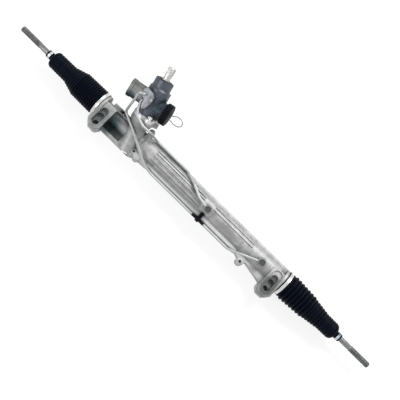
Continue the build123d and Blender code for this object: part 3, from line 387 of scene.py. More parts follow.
def light_and_shade_patch(tree, place, centre, reach):
    """Mask of a patch round one place, used for painted shade, painted highlights and dark
    marks: 1 at its centre, 0 outside its reach along X, Y and Z, with an edge that noise
    makes uneven."""
    share = vector_node(tree, "DIVIDE", vector_node(tree, "SUBTRACT", place, centre), reach)
    ragged = noise_node(tree, place, 70.0, 5.0, 0.6)
    distance = math_node(tree, "MULTIPLY_ADD", ragged, 0.5, vector_node(tree, "LENGTH", share))
    inputs = {"Value": distance, "From Min": 0.75, "From Max": 1.3, "To Min": 1.0, "To Max": 0.0}
    fade = add_node(tree, "MapRange", inputs, interpolation_type="SMOOTHSTEP")
    return (fade.outputs["Result"],)


def zone(tree, place, axis, level):
    """Mask of what lies past a level along an axis from the tower's foot, with an uneven edge."""
    away = vector_node(tree, "SUBTRACT", place, tuple(PINION * MM))
    past = math_node(tree, "SUBTRACT", vector_node(tree, "DOT_PRODUCT", away, axis), level)
    ragged = noise_node(tree, place, 180.0, 3.0, 0.6)
    past = math_node(tree, "MULTIPLY_ADD", ragged, 1.2 * MM, past)
    return (math_node(tree, "MULTIPLY_ADD", past, 1500.0, -0.4, clamp=True),)


# each effect's maker, its inputs besides Vector with their values, None for a vector, and
# its outputs, which are numbers but for Normal
EFFECTS = {
    "Edge wear and sheen": (edge_wear_and_sheen, {"Radius": MM}, ("Mask", "Normal")),
    "Corner grime and shade": (corner_grime_and_shade, {"Reach": 10 * MM}, ("Mask",)),
    "Cast skin": (cast_skin, {"Scale": 900.0}, ("Height", "Tone")),
    "Tool lines": (tool_lines, {}, ("Height", "Tone")),
    "Light and shade patch": (light_and_shade_patch, {"Centre": None, "Reach": None}, ("Mask",)),
    "Zone": (zone, {"Axis": None, "Level": 0.0}, ("Mask",)),
}


def effect_group(name):
    """The node group of an effect, built when it is first asked for."""
    if name in bpy.data.node_groups:
        return bpy.data.node_groups[name]
    maker, inputs, outputs = EFFECTS[name]
    group = bpy.data.node_groups.new(name, "ShaderNodeTree")
    sockets = [("INPUT", label, value) for label, value in {"Vector": None, **inputs}.items()]
    sockets += [("OUTPUT", label, None if label == "Normal" else 0.0) for label in outputs]
    for way, label, value in sockets:
        kind = "NodeSocketVector" if value is None else "NodeSocketFloat"
        socket = group.interface.new_socket(label, in_out=way, socket_type=kind)
        if value:
            socket.default_value = value
    start = group.nodes.new("NodeGroupInput")
    end = group.nodes.new("NodeGroupOutput")
    results = maker(group, *(start.outputs[label] for label in ("Vector", *inputs)))
    for result, label in zip(results, outputs):
        group.links.new(result, end.inputs[label])
    return group


def effect(tree, name, vector, **values):
    """Puts a shared effect into a material and gives its outputs."""
    inputs = {"Vector": vector, **values}
    return add_node(tree, "Group", inputs, node_tree=effect_group(name)).outputs


def mix_colour(tree, factor, *colours):
    """Two colours, or the sockets that carry them, mixed by a factor socket."""
    node = add_node(tree, "Mix", {"Factor": factor}, data_type="RGBA")
    ends = [socket for socket in node.inputs if socket.type == "RGBA"]
    for value, socket in zip(colours, ends):
        if not isinstance(value, NodeSocket):
            value = (*value, 1.0)
        feed(tree, value, socket)
    return [socket for socket in node.outputs if socket.type == "RGBA"][0]


def shade(colour, factor):
    return tuple(min(1.0, c * factor) for c in colour)


def new_material(name):
    """A material with nodes, its tree and its main shader."""
    material = bpy.data.materials.new(name)
    material.use_nodes = True
    return material, material.node_tree, material.node_tree.nodes["Principled BSDF"]


def finish(name, colour, roughness, metallic, grain, bump, mottle=0.16, wear_and_sheen=None,
           wear_and_sheen_radius=0.5, grime_and_shade=None, grime_and_shade_reach=4.0, grime_and_shade_share=0.7, specular=0.5,
           light_and_shade_patches=(), zones=()):
    """A finish on Object coordinates: a mottled colour, zones of other colours past a level
    along a direction, patches round their places that paint shade, highlights and dark
    marks, worn edges that also paint a highlight on the boots' crests, dirt and painted
    shade in corners, uneven gloss and the bumps of a cast skin, or of tool lines where its
    grain is None. Lengths come in millimetres."""
    FINISHES[name], tree, shader = new_material(name)
    place = add_node(tree, "TexCoord").outputs["Object"]
    if grain is None:
        skin = effect(tree, "Tool lines", place)
    else:
        skin = effect(tree, "Cast skin", place, Scale=grain)
    tone = math_node(tree, "MULTIPLY_ADD", skin["Tone"], 2.2, -0.6, clamp=True)

    def mottled(base):
        return mix_colour(tree, tone, shade(base, 1 - mottle), shade(base, 1 + mottle))

    paint = mottled(colour)
    for axis, level, colour_there in zones:
        beyond = effect(tree, "Zone", place, Axis=axis, Level=level * MM)["Mask"]
        paint = mix_colour(tree, beyond, paint, mottled(colour_there))
    # patches round places: painted shade and painted highlights, and dark teal marks on the valve
    for centre, reach, colour_there, share in light_and_shade_patches:
        mask = effect(tree, "Light and shade patch", place, Centre=[c * MM for c in centre],
                      Reach=[r * MM for r in reach])["Mask"]
        paint = mix_colour(tree, math_node(tree, "MULTIPLY", mask, share), paint, colour_there)
    edges = effect(tree, "Edge wear and sheen", place, Radius=wear_and_sheen_radius * MM)
    if wear_and_sheen:
        paint = mix_colour(tree, edges["Mask"], paint, wear_and_sheen)
    rough = math_node(tree, "MULTIPLY_ADD", skin["Tone"], UNEVEN_GLOSS * 2,
                      roughness - UNEVEN_GLOSS)
    # dirt and painted shade darken the corners; the dirt also dulls the gloss there
    if grime_and_shade:
        corner = effect(tree, "Corner grime and shade", place, Reach=grime_and_shade_reach * MM)["Mask"]
        corner = math_node(tree, "MULTIPLY", corner, grime_and_shade_share, clamp=True)
        paint = mix_colour(tree, corner, paint, grime_and_shade)
        rough = math_node(tree, "MULTIPLY_ADD", corner, GRIME_DULLS, rough, clamp=True)
    relief = add_node(tree, "Bump", {"Distance": bump * MM, "Height": skin["Height"],
                                     "Normal": edges["Normal"]})
    for label, value in (("Base Color", paint), ("Roughness", rough), ("Metallic", metallic),
                         ("Specular IOR Level", specular), ("Normal", relief.outputs[0])):
        feed(tree, value, shader.inputs[label])


# ---- settings ----
def tint(name, description, default):
    return FloatVectorProperty(name=name, description=description, default=default, size=3,
                               min=0.0, max=1.0, subtype="COLOR")


def length(name, description, default, low, high):
    return FloatProperty(name=name, description=description, default=default, min=low,
                         max=high, unit="LENGTH")


def count(name, description, default, low, high):
    return IntProperty(name=name, description=description, default=default, min=low, max=high)


class FinishSettings(PropertyGroup):
    """Colours of the rack's finishes."""
    casting: tint("Casting", "Die-cast housing", (0.44, 0.445, 0.44))
    # dirt and painted shade in the casting's corners
    casting_grime_and_shade: tint("Casting grime and shade", "Dirt and painted shade in the casting's corners", (0.06, 0.068, 0.066))
    # painted shade on the fronts and in the slots of the mounting eyes
    machined: tint("Eye shade", "Painted shade on the mounting eyes", (0.12, 0.13, 0.132))
    # painted shade in and beside the deep pocket, where the left eye shades it
    pocket_shade: tint("Pocket shade", "Painted shade in the deep pocket", (0.018, 0.045, 0.052))
    valve: tint("Valve block", "Darker casting of the valve", (0.085, 0.095, 0.115))
    # painted shade under the coil's boss, and dark teal marks on the valve
    teal: tint("Valve shade and dark patches", "Painted shade and dark patches on the valve", (0.022, 0.036, 0.046))
    arm: tint("Valve arm", "Paler metal of the arm", (0.145, 0.153, 0.146))
    plate: tint("Pipe plate", "Plate that holds the pipes", (0.30, 0.31, 0.335))
    steel: tint("Steel", "Ground and plated steel", (0.56, 0.56, 0.55))
    rods: tint("Tie rods", "Dull steel of the tie rods", (0.21, 0.212, 0.215))
    plated: tint("Pipes", "Plated pipes and their unions", (0.47, 0.485, 0.48))
    phosphated: tint("Phosphated steel", "Dark screws", (0.10, 0.10, 0.105))
    rubber: tint("Boots", "Rubber of the boots", (0.0019, 0.0037, 0.0092))
    plastic: tint("Black plastic", "Coil cap and pipe clip", (0.004, 0.005, 0.010))
    bronze: tint("Bush", "Bronze of the rack bush", (0.24, 0.21, 0.17))


class BootSettings(PropertyGroup):
    """Sizes of the boots."""
    rows_per_pleat: count("Rows per pleat", "Rows that draw one pleat", 12, 6, 24)
    wall: length("Wall", "Thickness of the rubber", 0.002, 0.001, 0.004)


class RodSettings(PropertyGroup):
    """Thread of the tie rods."""
    pitch: length("Pitch", "Thread pitch", 0.0015, 0.001, 0.002)
    depth: length("Depth", "Thread depth", 0.0009, 0.0003, 0.0012)


class ValveSettings(PropertyGroup):
    """Trim of the valve."""
    cap_ribs: count("Cap ribs", "Ribs round the coil's cap", 24, 8, 48)
    splines: count("Splines", "Serrations of the input shaft", 36, 12, 60)


class PipeSettings(PropertyGroup):
    """Size of the pipes."""
    radius: length("Radius", "Outer radius of the pipes", 0.0034, 0.002, 0.004)


class StageSettings(PropertyGroup):
    """Camera and lamps."""
    distance: length("Distance", "Camera to the rack", 1.7545, 0.5, 6.0)
    elevation: FloatProperty(name="Elevation", description="Camera above the horizon",
                             default=math.radians(75), subtype="ANGLE")
    roll: FloatProperty(name="Roll", description="How far the rack runs down to the right",
                        default=math.radians(44.4), subtype="ANGLE")
    key: FloatProperty(name="Key lamp", description="Power of the large soft lamp",
                       default=34.0, min=0.0, max=200.0, unit="POWER")
    sky: FloatProperty(name="Sky", description="Strength of the even light",
                       default=0.34, min=0.0, max=2.0)


# ---- finishes ----
class RACK_OT_finishes(Operator):
    """Make the finishes and give them to the pieces that stay as they are."""
    bl_idname = "rack.finishes"
    bl_label = "Finishes"

    def execute(self, context):
        look = context.scene.rack_finishes
        finish("cast aluminium", look.casting, 0.54, 0.5, 700.0, 0.09, mottle=0.4,
               wear_and_sheen=shade(look.casting, 1.4), wear_and_sheen_radius=1.2, grime_and_shade=look.casting_grime_and_shade,
               grime_and_shade_reach=20.0, grime_and_shade_share=0.9,
               # patches: painted shade in and beside the deep pocket, on the eyes' fronts, on the
               # tower's front below the flange and in the recessed panel, and a painted highlight
               # along the front strip
               light_and_shade_patches=(((-259, 34, 38), (33, 36, 32), look.pocket_shade, 0.6),
                       ((-275, 30, 42), (26, 50, 36), look.pocket_shade, 0.95),
                       ((-262, 75, 52), (30, 14, 24), look.pocket_shade, 0.8),
                       ((-305, 12, 66), (29, 46, 30), shade(look.machined, 1.2), 0.8),
                       ((305, 6, 66), (30, 46, 30), shade(look.machined, 0.55), 0.9),
                       ((60, 12, 52), (330, 14, 14), shade(look.casting, 1.4), 0.75),
                       (on_tower(0, 50, 18), (44, 22, 30), shade(look.casting, 0.6), 0.7),
                       ((130, 32, 64), (64, 15, 12), shade(look.casting, 0.55), 0.7)))
        finish("valve casting", look.valve, 0.42, 0.7, 900.0, 0.05, mottle=0.4,
               wear_and_sheen=shade(look.valve, 1.7), wear_and_sheen_radius=0.8, grime_and_shade=(0.012, 0.016, 0.02),
               grime_and_shade_reach=12.0, grime_and_shade_share=0.9,
               zones=((LEFT, 24.0, look.arm), (-UP, -72.5, shade(look.casting, 1.5))),
               # patches: painted shade under the coil's boss, and dark teal marks at the arm's foot
               # and the barrel's top
               light_and_shade_patches=((on_tower(-24, 104, 0), (30, 34, 40), look.teal, 1.0),
                       (on_tower(62, 82, 0), (32, 24, 40), look.teal, 0.95),
                       (on_tower(0, 172, 0), (30, 11, 40), look.teal, 0.9)))
        finish("dull steel", look.rods, 0.36, 1.0, None, 0.01, mottle=0.25,
               wear_and_sheen=shade(look.rods, 2.0), wear_and_sheen_radius=0.6, grime_and_shade=(0.05, 0.045, 0.04),
               grime_and_shade_reach=6.0)
        finish("rolled thread", shade(look.rods, 0.95), 0.4, 1.0, None, 0.01, mottle=0.3,
               wear_and_sheen=shade(look.rods, 2.2), wear_and_sheen_radius=0.4, grime_and_shade=(0.03, 0.031, 0.033),
               grime_and_shade_reach=2.0)
        finish("ground steel", look.steel, 0.24, 1.0, None, 0.006,
               wear_and_sheen=shade(look.steel, 1.3), grime_and_shade=(0.12, 0.11, 0.10))
        finish("turned steel", shade(look.steel, 0.9), 0.34, 1.0, None, 0.02,
               wear_and_sheen=shade(look.steel, 1.2), grime_and_shade=(0.05, 0.048, 0.045), grime_and_shade_reach=3.0,
               grime_and_shade_share=0.9)
        finish("zinc plate", shade(look.steel, 1.1), 0.3, 1.0, 1600.0, 0.01, mottle=0.1,
               wear_and_sheen=shade(look.steel, 1.4), wear_and_sheen_radius=0.6, grime_and_shade=[0.12] * 3)
        finish("clip steel", (0.50, 0.54, 0.60), 0.3, 1.0, 1500.0, 0.01,
               wear_and_sheen=(0.75, 0.78, 0.82), grime_and_shade=(0.1, 0.1, 0.12))
        finish("plated pipe", look.plated, 0.5, 0.6, 1300.0, 0.015, mottle=0.15,
               wear_and_sheen=(0.7, 0.72, 0.72), wear_and_sheen_radius=0.6, grime_and_shade=(0.14, 0.15, 0.15),
               grime_and_shade_reach=6.0)
        finish("pipe plate", look.plate, 0.5, 0.7, 1000.0, 0.04, mottle=0.3,
               wear_and_sheen=(0.55, 0.57, 0.6), wear_and_sheen_radius=1.0, grime_and_shade=(0.04, 0.05, 0.055),
               grime_and_shade_reach=8.0, grime_and_shade_share=0.9)
        finish("phosphated steel", look.phosphated, 0.36, 0.9, 1400.0, 0.02,
               wear_and_sheen=(0.45, 0.45, 0.46), grime_and_shade=[0.02] * 3)
        # on the boots the wear colour paints a highlight along the pleat crests
        finish("boot rubber", look.rubber, 0.4, 0.0, 1500.0, 0.03, mottle=0.3,
               wear_and_sheen=(0.04, 0.05, 0.065), wear_and_sheen_radius=0.9, grime_and_shade=(0.0004, 0.0008, 0.002),
               grime_and_shade_reach=8.0, specular=0.05)
        finish("seal rubber", look.rubber, 0.6, 0.0, 1800.0, 0.02, mottle=0.25,
               wear_and_sheen_radius=1.0, grime_and_shade=[0.03] * 3)
        finish("ring plastic", look.plastic, 0.38, 0.0, 1700.0, 0.03, mottle=0.25,
               wear_and_sheen=(0.06, 0.062, 0.07), wear_and_sheen_radius=0.6, grime_and_shade=[0.02] * 3,
               grime_and_shade_share=0.5)
        finish("black plastic", shade(look.plastic, 0.5), 0.5, 0.0, 1700.0, 0.03,
               wear_and_sheen=(0.02, 0.024, 0.032), grime_and_shade=(0.001, 0.002, 0.004), specular=0.1)
        finish("bronze", look.bronze, 0.3, 1.0, None, 0.01, wear_and_sheen_radius=1.0)
        finish("pale plastic", (0.72, 0.68, 0.56), 0.45, 0.0, 1500.0, 0.02, mottle=0.06,
               wear_and_sheen_radius=1.0)
        stays = {
            "cast aluminium": "rack_housing",
            "valve casting": "valve_housing valve_coil",
            "ground steel": "rack_bar torsion_bar",
            "turned steel": ("input_shaft pinion pinion_nut valve_sleeve piston yoke "
                             "ball_socket_left ball_socket_right pinion_bearing foot_bearing "
                             "shaft_bearing yoke_spring"),
            "zinc plate": "bottom_cap yoke_plug",
            "plated pipe": "banjo_eyes",
            "seal rubber": "shaft_seal rack_seals",
            "ring plastic": "piston_ring sleeve_rings",
            "black plastic": "pipe_clip",
            "bronze": "rack_bush",
            "pale plastic": "ball_seat_left ball_seat_right",
        }
        for label, names in stays.items():
            for name in names.split():
                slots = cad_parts[name].data.materials
                slots.clear()
                slots.append(FINISHES[label])
        return {"FINISHED"}


# ---- boots ----
def boot_profile(side, rows_per_pleat):
    """Outside of a boot as distance from the origin along the rack, and radius. In a zone the
    radius is the crest line less depth * (1 - |sin|^0.8), one half wave a pleat."""
    small = small_cuff_start(side)
    small_end = small + SMALL_CUFF_LENGTH
    start, seat_end = CUFF_START[side], HOUSING_END[side]
    runs = [filled_rows([(start, SEAT_RADIUS + 1.4), (start + 0.8, CUFF_RADIUS - 0.4),
                         (start + 1.6, CUFF_RADIUS), (seat_end - 4, CUFF_RADIUS),
                         (seat_end - 2.4, CUFF_RADIUS + 0.9), (seat_end - 1, CUFF_RADIUS)], 4)]
    for low, high, count, first, last, depth in PLEATS[side]:
        low, high = boot_place(side, low), boot_place(side, high)
        share = np.linspace(0, 1, count * rows_per_pleat + 1)
        crest = first + (last - first) * share
        wave = np.abs(np.sin(np.pi * count * share)) ** 0.8
        runs.append(np.array([low + (high - low) * share, crest - depth * (1 - wave)]))
    end = boot_place(side, PLEATS[side][-1][1])
    share = np.linspace(0.15, 1, 8)
    edge = runs[-1][1][-1]
    runs.append(np.array([end + (small - end) * share,
                          edge + (SMALL_CUFF_RADIUS + 0.5 - edge) * share ** 2.2]))
    runs.append(filled_rows([(small + 1.2, SMALL_CUFF_RADIUS), (small_end - 2.4, SMALL_CUFF_RADIUS),
                             (small_end - 1.6, SMALL_CUFF_RADIUS + 0.8),
                             (small_end, SMALL_CUFF_RADIUS)], 3))
    return np.hstack(runs)


class RACK_OT_boots(Operator):
    """Make the two pleated boots, each in three lengths."""
    bl_idname = "rack.boots"
    bl_label = "Boots"

    def execute(self, context):
        settings = context.scene.rack_boots
        wall = settings.wall / MM
        for side, sign in SIGNS.items():
            outside = boot_profile(side, settings.rows_per_pleat)
            distance, radius = outside
            radius = np.where(distance < HOUSING_END[side], SEAT_RADIUS + 0.3,
                              np.maximum(radius - wall, ROD_RADIUS + 0.3))
            inside = np.array([distance, radius])
            marks = [boot_place(side, PLEATS[side][0][0]), *boot_seams(side),
                     small_cuff_start(side)]
            reach = [-np.inf, *marks[1:3], np.inf]
            for place, name in enumerate(("boot", "boot_neck", "boot_end")):
                rows = ((distance >= reach[place] - SAME_PLACE)
                        & (distance <= reach[place + 1] + SAME_PLACE))
                loop = np.hstack([outside[:, rows], inside[:, rows][:, ::-1]])
                grid = rack_lathe(side, 0, loop[0], loop[1], 96)
                piece = make_piece(f"{name}_{side}", [grid], None, "boot rubber",
                                   f"bellows_{side}", closed=True, sharp=60)
                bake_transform(piece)
        return {"FINISHED"}


def bump_at(angle, degrees, half_width):
    """1 at the given degrees, falling by the fourth power to 0 at the half width each side."""
    away = (angle - math.radians(degrees) + np.pi) % (2 * np.pi) - np.pi
    return np.clip(1 - np.abs(away / math.radians(half_width)) ** 4, 0, 1)


def band_grid(side, start, cuff, columns, across, raised, ears, half_width, ear_rise):
    """Grid of a strip round a boot's cuff, from a distance along the rack. Raised is the height
    of its section above the cuff, and ears at the given degrees rise above that."""
    ear = sum(bump_at(turn_angles(columns), degrees, half_width) for degrees in ears)
    outer = cuff + np.array(raised)[:, None] + np.array(ear_rise)[:, None] * ear[None]
    inner = np.full((2, columns), cuff + 0.02)
    return rack_lathe(side, start, [*across, across[-1], 0.0], np.vstack([outer, inner]), columns)


class RACK_OT_boot_bands(Operator):
    """Make the wide bands and the small spring clips that hold the boots."""
    bl_idname = "rack.boot_bands"
    bl_label = "Boot bands"

    def execute(self, context):
        for side in SIGNS:
            # wide band: a strip with rolled edges and one pinched ear with a narrow waist
            grid = band_grid(side, CLAMP_START[side], CUFF_RADIUS, 288,
                             (0, 0, 0.5, 1.2, 2, 4.25, 6.5, 7.3, 8, 8.5, 8.5),
                             (0, 0.9, 1.3, 1.3, 1, 1, 1, 1.3, 1.3, 0.9, 0), (25,), 5.2,
                             (0, 0, 2.79922, 3.06416, 2.67484, 2.21, 2.67484, 3.06416,
                              2.79922, 0, 0))
            make_piece(f"boot_band_{side}", [grid], "housing", "zinc plate",
                       f"bellows_clamp_{side}", closed=True)
            # small clip: a flat spring band with its two ears turned up
            start = BALL_DISTANCE[side] + CLIP_DISTANCE[side] - CLIP_WIDTH / 2
            grid = band_grid(side, start, SMALL_CUFF_RADIUS, 240,
                             (0, 0, 0.6, 3.5, 6.4, CLIP_WIDTH, CLIP_WIDTH),
                             (0, 0.8, 1.2, 1.25, 1.2, 0.8, 0), (60, 78), 3.4,
                             (0, 0, 4, 4, 4, 0, 0))
            make_piece(f"boot_clip_{side}", [grid], f"rod_{side}", "clip steel",
                       f"bellows_clip_{side}", closed=True)
        return {"FINISHED"}


# ---- tie rods ----
class RACK_OT_tie_rods(Operator):
    """Make the two tie rods with their balls and rolled threads."""
    bl_idname = "rack.tie_rods"
    bl_label = "Tie rods"

    def execute(self, context):
        settings = context.scene.rack_rods
        pitch, depth = settings.pitch / MM, settings.depth / MM
        ball_radius, neck_radius, groove_radius = 12.5, 7.0, ROD_RADIUS - 0.8
        relief_radius = THREAD_RADIUS - 1.2
        sweep = np.linspace(0, np.pi - math.asin(neck_radius / ball_radius), 26)
        ball = np.array([-ball_radius * np.cos(sweep), ball_radius * np.sin(sweep)])
        thread_start = ROD_LENGTH - THREAD_LENGTH
        rows = np.arange(thread_start, ROD_LENGTH - 0.2, pitch / 6)
        columns = 48
        for side, sign in SIGNS.items():
            clip = CLIP_DISTANCE[side]
            shank = filled_rows([(11.2, neck_radius), (20, neck_radius), (21.5, 7.1),
                                 (24, ROD_RADIUS), (clip - 3.6, ROD_RADIUS),
                                 (clip - 3, groove_radius), (clip + 3, groove_radius),
                                 (clip + 3.6, ROD_RADIUS), (thread_start - 6, ROD_RADIUS),
                                 (thread_start - 4, relief_radius),
                                 (thread_start - 1, relief_radius)], 8)
            # thread: the crest radius less depth * a flat-topped triangle wave, whose phase
            # moves on by one pitch a turn. It fades in over two pitches, and a chamfer ends it
            phase = (rows[:, None] / pitch - sign * turn_angles(columns) / (2 * np.pi)) % 1
            groove = np.clip(1.3 * (1 - np.abs(2 * phase - 1)) - 0.15, 0, 1)
            fade = np.clip((rows - thread_start) / (2 * pitch), 0, 1)[:, None]
            chamfer = np.clip(rows - (ROD_LENGTH - 1.5), 0, None)[:, None]
            thread = THREAD_RADIUS - 0.15 * (1 - fade) - depth * groove * fade
            thread = np.minimum(thread, THREAD_RADIUS - chamfer)
            plain = np.hstack([ball, shank])
            distance = np.hstack([plain[0], rows, [ROD_LENGTH, ROD_LENGTH]])
            radius = np.vstack([np.repeat(plain[1][:, None], columns, 1), thread,
                                np.full((1, columns), THREAD_RADIUS - 1.6),
                                np.zeros((1, columns))])
            grid = rack_lathe(side, BALL_DISTANCE[side], distance, radius, columns)
            rod = make_piece(f"rod_with_thread_{side}", [grid], f"rod_{side}", "dull steel",
                             f"tie_rod_{side}", sharp=40)
            # the thread's rows take a finish of their own
            rod.data.materials.append(FINISHES["rolled thread"])
            middle = np.empty(len(rod.data.polygons) * 3)
            rod.data.polygons.foreach_get("center", middle)
            along = sign * middle[::3] / MM - BALL_DISTANCE[side]
            threaded = (along > thread_start - 0.5).astype(np.int32)
            rod.data.polygons.foreach_set("material_index", threaded)
        return {"FINISHED"}


# ---- screws ----
def hex_screw(seat, axis, corner, head, flange, flange_height, shank, length, dimple=0.4):
    """Grid of a hexagon screw over a round flange and shank. Its head's sides are at apothem /
    cos(angle from the nearest flat), and its top is cut back by 30 degrees outside the
    inscribed circle and dished inside it."""
    columns = 96
    apothem = corner * math.cos(math.pi / 6)
    side = apothem / np.cos((turn_angles(columns) + np.pi / 6) % (np.pi / 3) - np.pi / 6)
    land = 0.94 * apothem
    level = flange_height + head
    top = level - np.clip(side - land, 0, None) * math.tan(math.pi / 6)
    rows = [(0, level - dimple), (0.62 * apothem, level - dimple), (0.74 * apothem, level),
            (land, level), (side, top), (side, flange_height + 0.2)]
    if flange:
        rows += [(flange - 1.4, flange_height), (flange, 0.5 * flange_height), (flange, 0)]
    else:
        rows += [(side, 0)]
    rows += [(shank, 0), (shank, -length), (0, -length)]
    radius, distance = (np.array([np.broadcast_to(row[i], columns) for row in rows])
                        for i in (0, 1))
    return lathe(seat, axis, distance, radius, columns)


class RACK_OT_screws(Operator):
    """Make the hexagon screws of the valve flange, the pipe plate and the pipe unions."""
    bl_idname = "rack.screws"
    bl_label = "Screws"

    def execute(self, context):
        grids = []
        for turn in np.radians([125.0, 215.0, 305.0]):
            seat = on_tower(FLANGE_SCREW_CIRCLE * math.cos(turn), FLANGE_TOP,
                            FLANGE_SCREW_CIRCLE * math.sin(turn))
            grids.append(hex_screw(seat, UP, 6.6, 6.5, 8.0, 1.8, 4.0, 23.0))
        make_piece("flange_screws", grids, "housing", "zinc plate",
                   "flange_bolts")
        grid = hex_screw(on_tower(-1.5, 120.0, PLATE_FRONT), FRONT, 6.6, 6.0, None, 0.0, 4.0,
                         11.0)
        make_piece("plate_screw", [grid], "housing", "dull steel", "plate_bolt")
        grids = [hex_screw(over_port(side, UNION_TOP), PORT_OUT, 9.5, 6.0, None, 0.0, 6.0,
                           19.0, dimple=1.2) for side in PORT_X]
        make_piece("union_screws", grids, "housing", "phosphated steel",
                   "banjo_bolts")
        return {"FINISHED"}


# ---- valve trim ----
class RACK_OT_valve_trim(Operator):
    """Make the shaft's cover and serration, the coil's ribbed cap and its wire bail."""
    bl_idname = "rack.valve_trim"
    bl_label = "Valve trim"

    def execute(self, context):
        settings = context.scene.rack_valve
        # cover: a rubber lip seal, stepped outside, with a wiping lip on the shaft
        cover = filled_rows([(162.5, 11.6), (162.5, 22.9), (170.6, 22.9), (171.6, 22.4),
                             (172.2, 21.2), (172.3, 18.5), (171.4, 17.6), (171.4, 16.4),
                             (172.6, 15.4), (172.9, 13.4), (172.7, 12.0), (172.2, 11.4)], 2.5)
        grid = lathe(PINION, UP, cover[0], cover[1], 96)
        make_piece("shaft_cover", [grid], "housing", "seal rubber",
                   "valve_cover", closed=True)
        # serration: the shaft's radius with one rounded tooth for each spline
        columns = settings.splines * 8
        tooth = np.clip(0.5 + 0.9 * np.cos(settings.splines * turn_angles(columns)), 0, 1)
        level = [191.3, 191.3, 192.3, 196.0, 200.0, 204.0, 205.6, 206.3, 206.3]
        height = np.array([0.0, 0.03, 1.0, 1.0, 1.0, 1.0, 1.0, 0.1, 0.0])
        radius = SHAFT_RADIUS + TOOTH_HEIGHT * height[:, None] * tooth[None]
        radius[0] = radius[-1] = SHAFT_RADIUS - 0.22
        grid = lathe(PINION, UP, level, radius, columns)
        make_piece("shaft_serration", [grid], "input", "turned steel",
                   closed=True)
        # coil cap: a ribbed skirt, a rounded shoulder and a stepped face, as reach, radius and
        # share of the ribs' depth at each row
        columns = settings.cap_ribs * 12
        rib = np.clip(0.5 + 1.4 * np.cos(settings.cap_ribs * turn_angles(columns)), 0, 1)
        rows = ((0, 0, 0), (0, 28, 0), (0.6, 28.8, 0),
                *((reach, CAP_RADIUS, 1) for reach in (2.2, 4.6, 8, 11, 13.5)),
                (14.6, CAP_RADIUS, 0.4), (15.6, CAP_RADIUS, 0), (16.8, 28.8, 0),
                (17.6, 27.8, 0), (18, 26, 0), (18, 21.5, 0), (17.2, 21, 0), (17.2, 16, 0),
                (18, 15.5, 0), (18, 9, 0), (16.6, 8.4, 0), (16.6, 0, 0))
        reach, size, cut = np.array(rows).T
        radius = size[:, None] - RIB_DEPTH * cut[:, None] * (1 - rib[None])
        grid = lathe(on_tower(-38.0, 100.5, 0), -LEFT, reach, radius, columns)
        make_piece("ribbed_cap", [grid], "housing", "black plastic",
                   "coil_cap", sharp=38)
        # bail: one wire that leaves the cap, opens into a loop and comes back
        route = [(56.2, 98.5), (66, 95), (76, 91.8), (87, 92.2), (94.5, 97), (95.5, 103),
                 (93, 109), (85, 113), (75, 113), (66, 109), (56.2, 104.5)]
        path = smooth_path([on_tower(-out, level, 10) for out, level in route])
        make_piece("wire_loop", [carried(path, WIRE_RADIUS, 14, -FRONT)], "housing", "dull steel",
                   "wire_bail", sharp=60)
        return {"FINISHED"}


# ---- pipes ----
class RACK_OT_pipes(Operator):
    """Make the two pressed steel pipes and the plate that holds them to the valve."""
    bl_idname = "rack.pipes"
    bl_label = "Pipes"

    def execute(self, context):
        radius = context.scene.rack_pipes.radius / MM
        strip = RACK_AXIS + [0, -41.0, 8.0]
        routes = {
            "right": [on_tower(18, 124, 41), on_tower(18, 124, 50), on_tower(32, 121, 50),
                      on_tower(34, 100, 44), on_tower(38, 81, 36.5), (-266, 68, 86.5),
                      (-205, 37.5, 91), (-140, 8, 60), strip + [-112, 0, 0],
                      strip + [164, 0, 0], (196, 15, 70)],
            "left": [on_tower(18.5, 108.5, 36.5), on_tower(19.6, 99.5, 36.5),
                     on_tower(15.7, 82, 42), on_tower(8, 68, 46), on_tower(-20, 53, 47),
                     on_tower(-42, 48, 40), (-158, 78, 57), (-48, 78, 57), (-10, 60, 73.5),
                     (22, 44, 77.5)],
        }
        for side, route in routes.items():
            union = over_port(side, UNION_MIDDLE)
            end = union + unit(route[-1] - union) * UNION_REACH
            path = rounded([*route, end], BEND_RADIUS)
            grid = carried(path, radius, 20, helper=(0.35, 0.62, 0.7))
            make_piece(f"pressed_pipe_{side}", [grid], "housing", "plated pipe",
                       f"pipe_{side}", sharp=60)
        # plate: its rounded outline, out to the right and up, stacked to the front with a
        # bevelled edge. The insets that pass its middle close the two ends
        corners = [(-27, 21), (-19, 24), (-3, 20), (5.5, 10), (5, -6), (-2, -24), (-10, -31),
                   (-15, -16), (-15, -6), (-28, 5)]
        middle = np.array([-8.0, 2.0])
        arm = rounded(corners, 4.0, closed=True) - middle
        size = np.linalg.norm(arm, axis=1)[:, None]
        grid = []
        for front, inset in ((31.05, 1e9), (31.05, 0.0), (40.2, 0.0), (41.4, 0.4),
                             (PLATE_FRONT, 1.4), (PLATE_FRONT, 1e9)):
            ring = middle + arm * np.clip(1 - inset / size, 0, 1)
            grid.append(on_tower(-ring[:, :1], 115.0 + ring[:, 1:], front))
        make_piece("clamping_plate", [np.array(grid)], "housing", "pipe plate",
                   "pipe_plate", sharp=38)
        return {"FINISHED"}


# ---- stage ----
def camera_or_reflection(tree, path):
    """1 for what the camera sees straight or mirrored."""
    return math_node(tree, "MAXIMUM", path.outputs["Is Camera Ray"],
                     path.outputs["Is Glossy Ray"])


def stand(name, data, back, right, up, place):
    """A lamp or camera at a place, with its back turned away from what it faces."""
    holder = bpy.data.objects.new(name, data)
    bpy.context.scene.collection.objects.link(holder)
    holder.matrix_world = Matrix([*zip(right, up, back, place), (0, 0, 0, 1)])
    return holder


def soft_lamp(name, place, target, size, power):
    """A rectangular lamp that shines from its place to the target."""
    lamp = bpy.data.lights.new(name, "AREA")
    lamp.shape = "RECTANGLE"
    lamp.size, lamp.size_y = size
    lamp.energy = power
    back = unit(np.subtract(place, target))
    stand(name, lamp, back, *square_to(back), place)


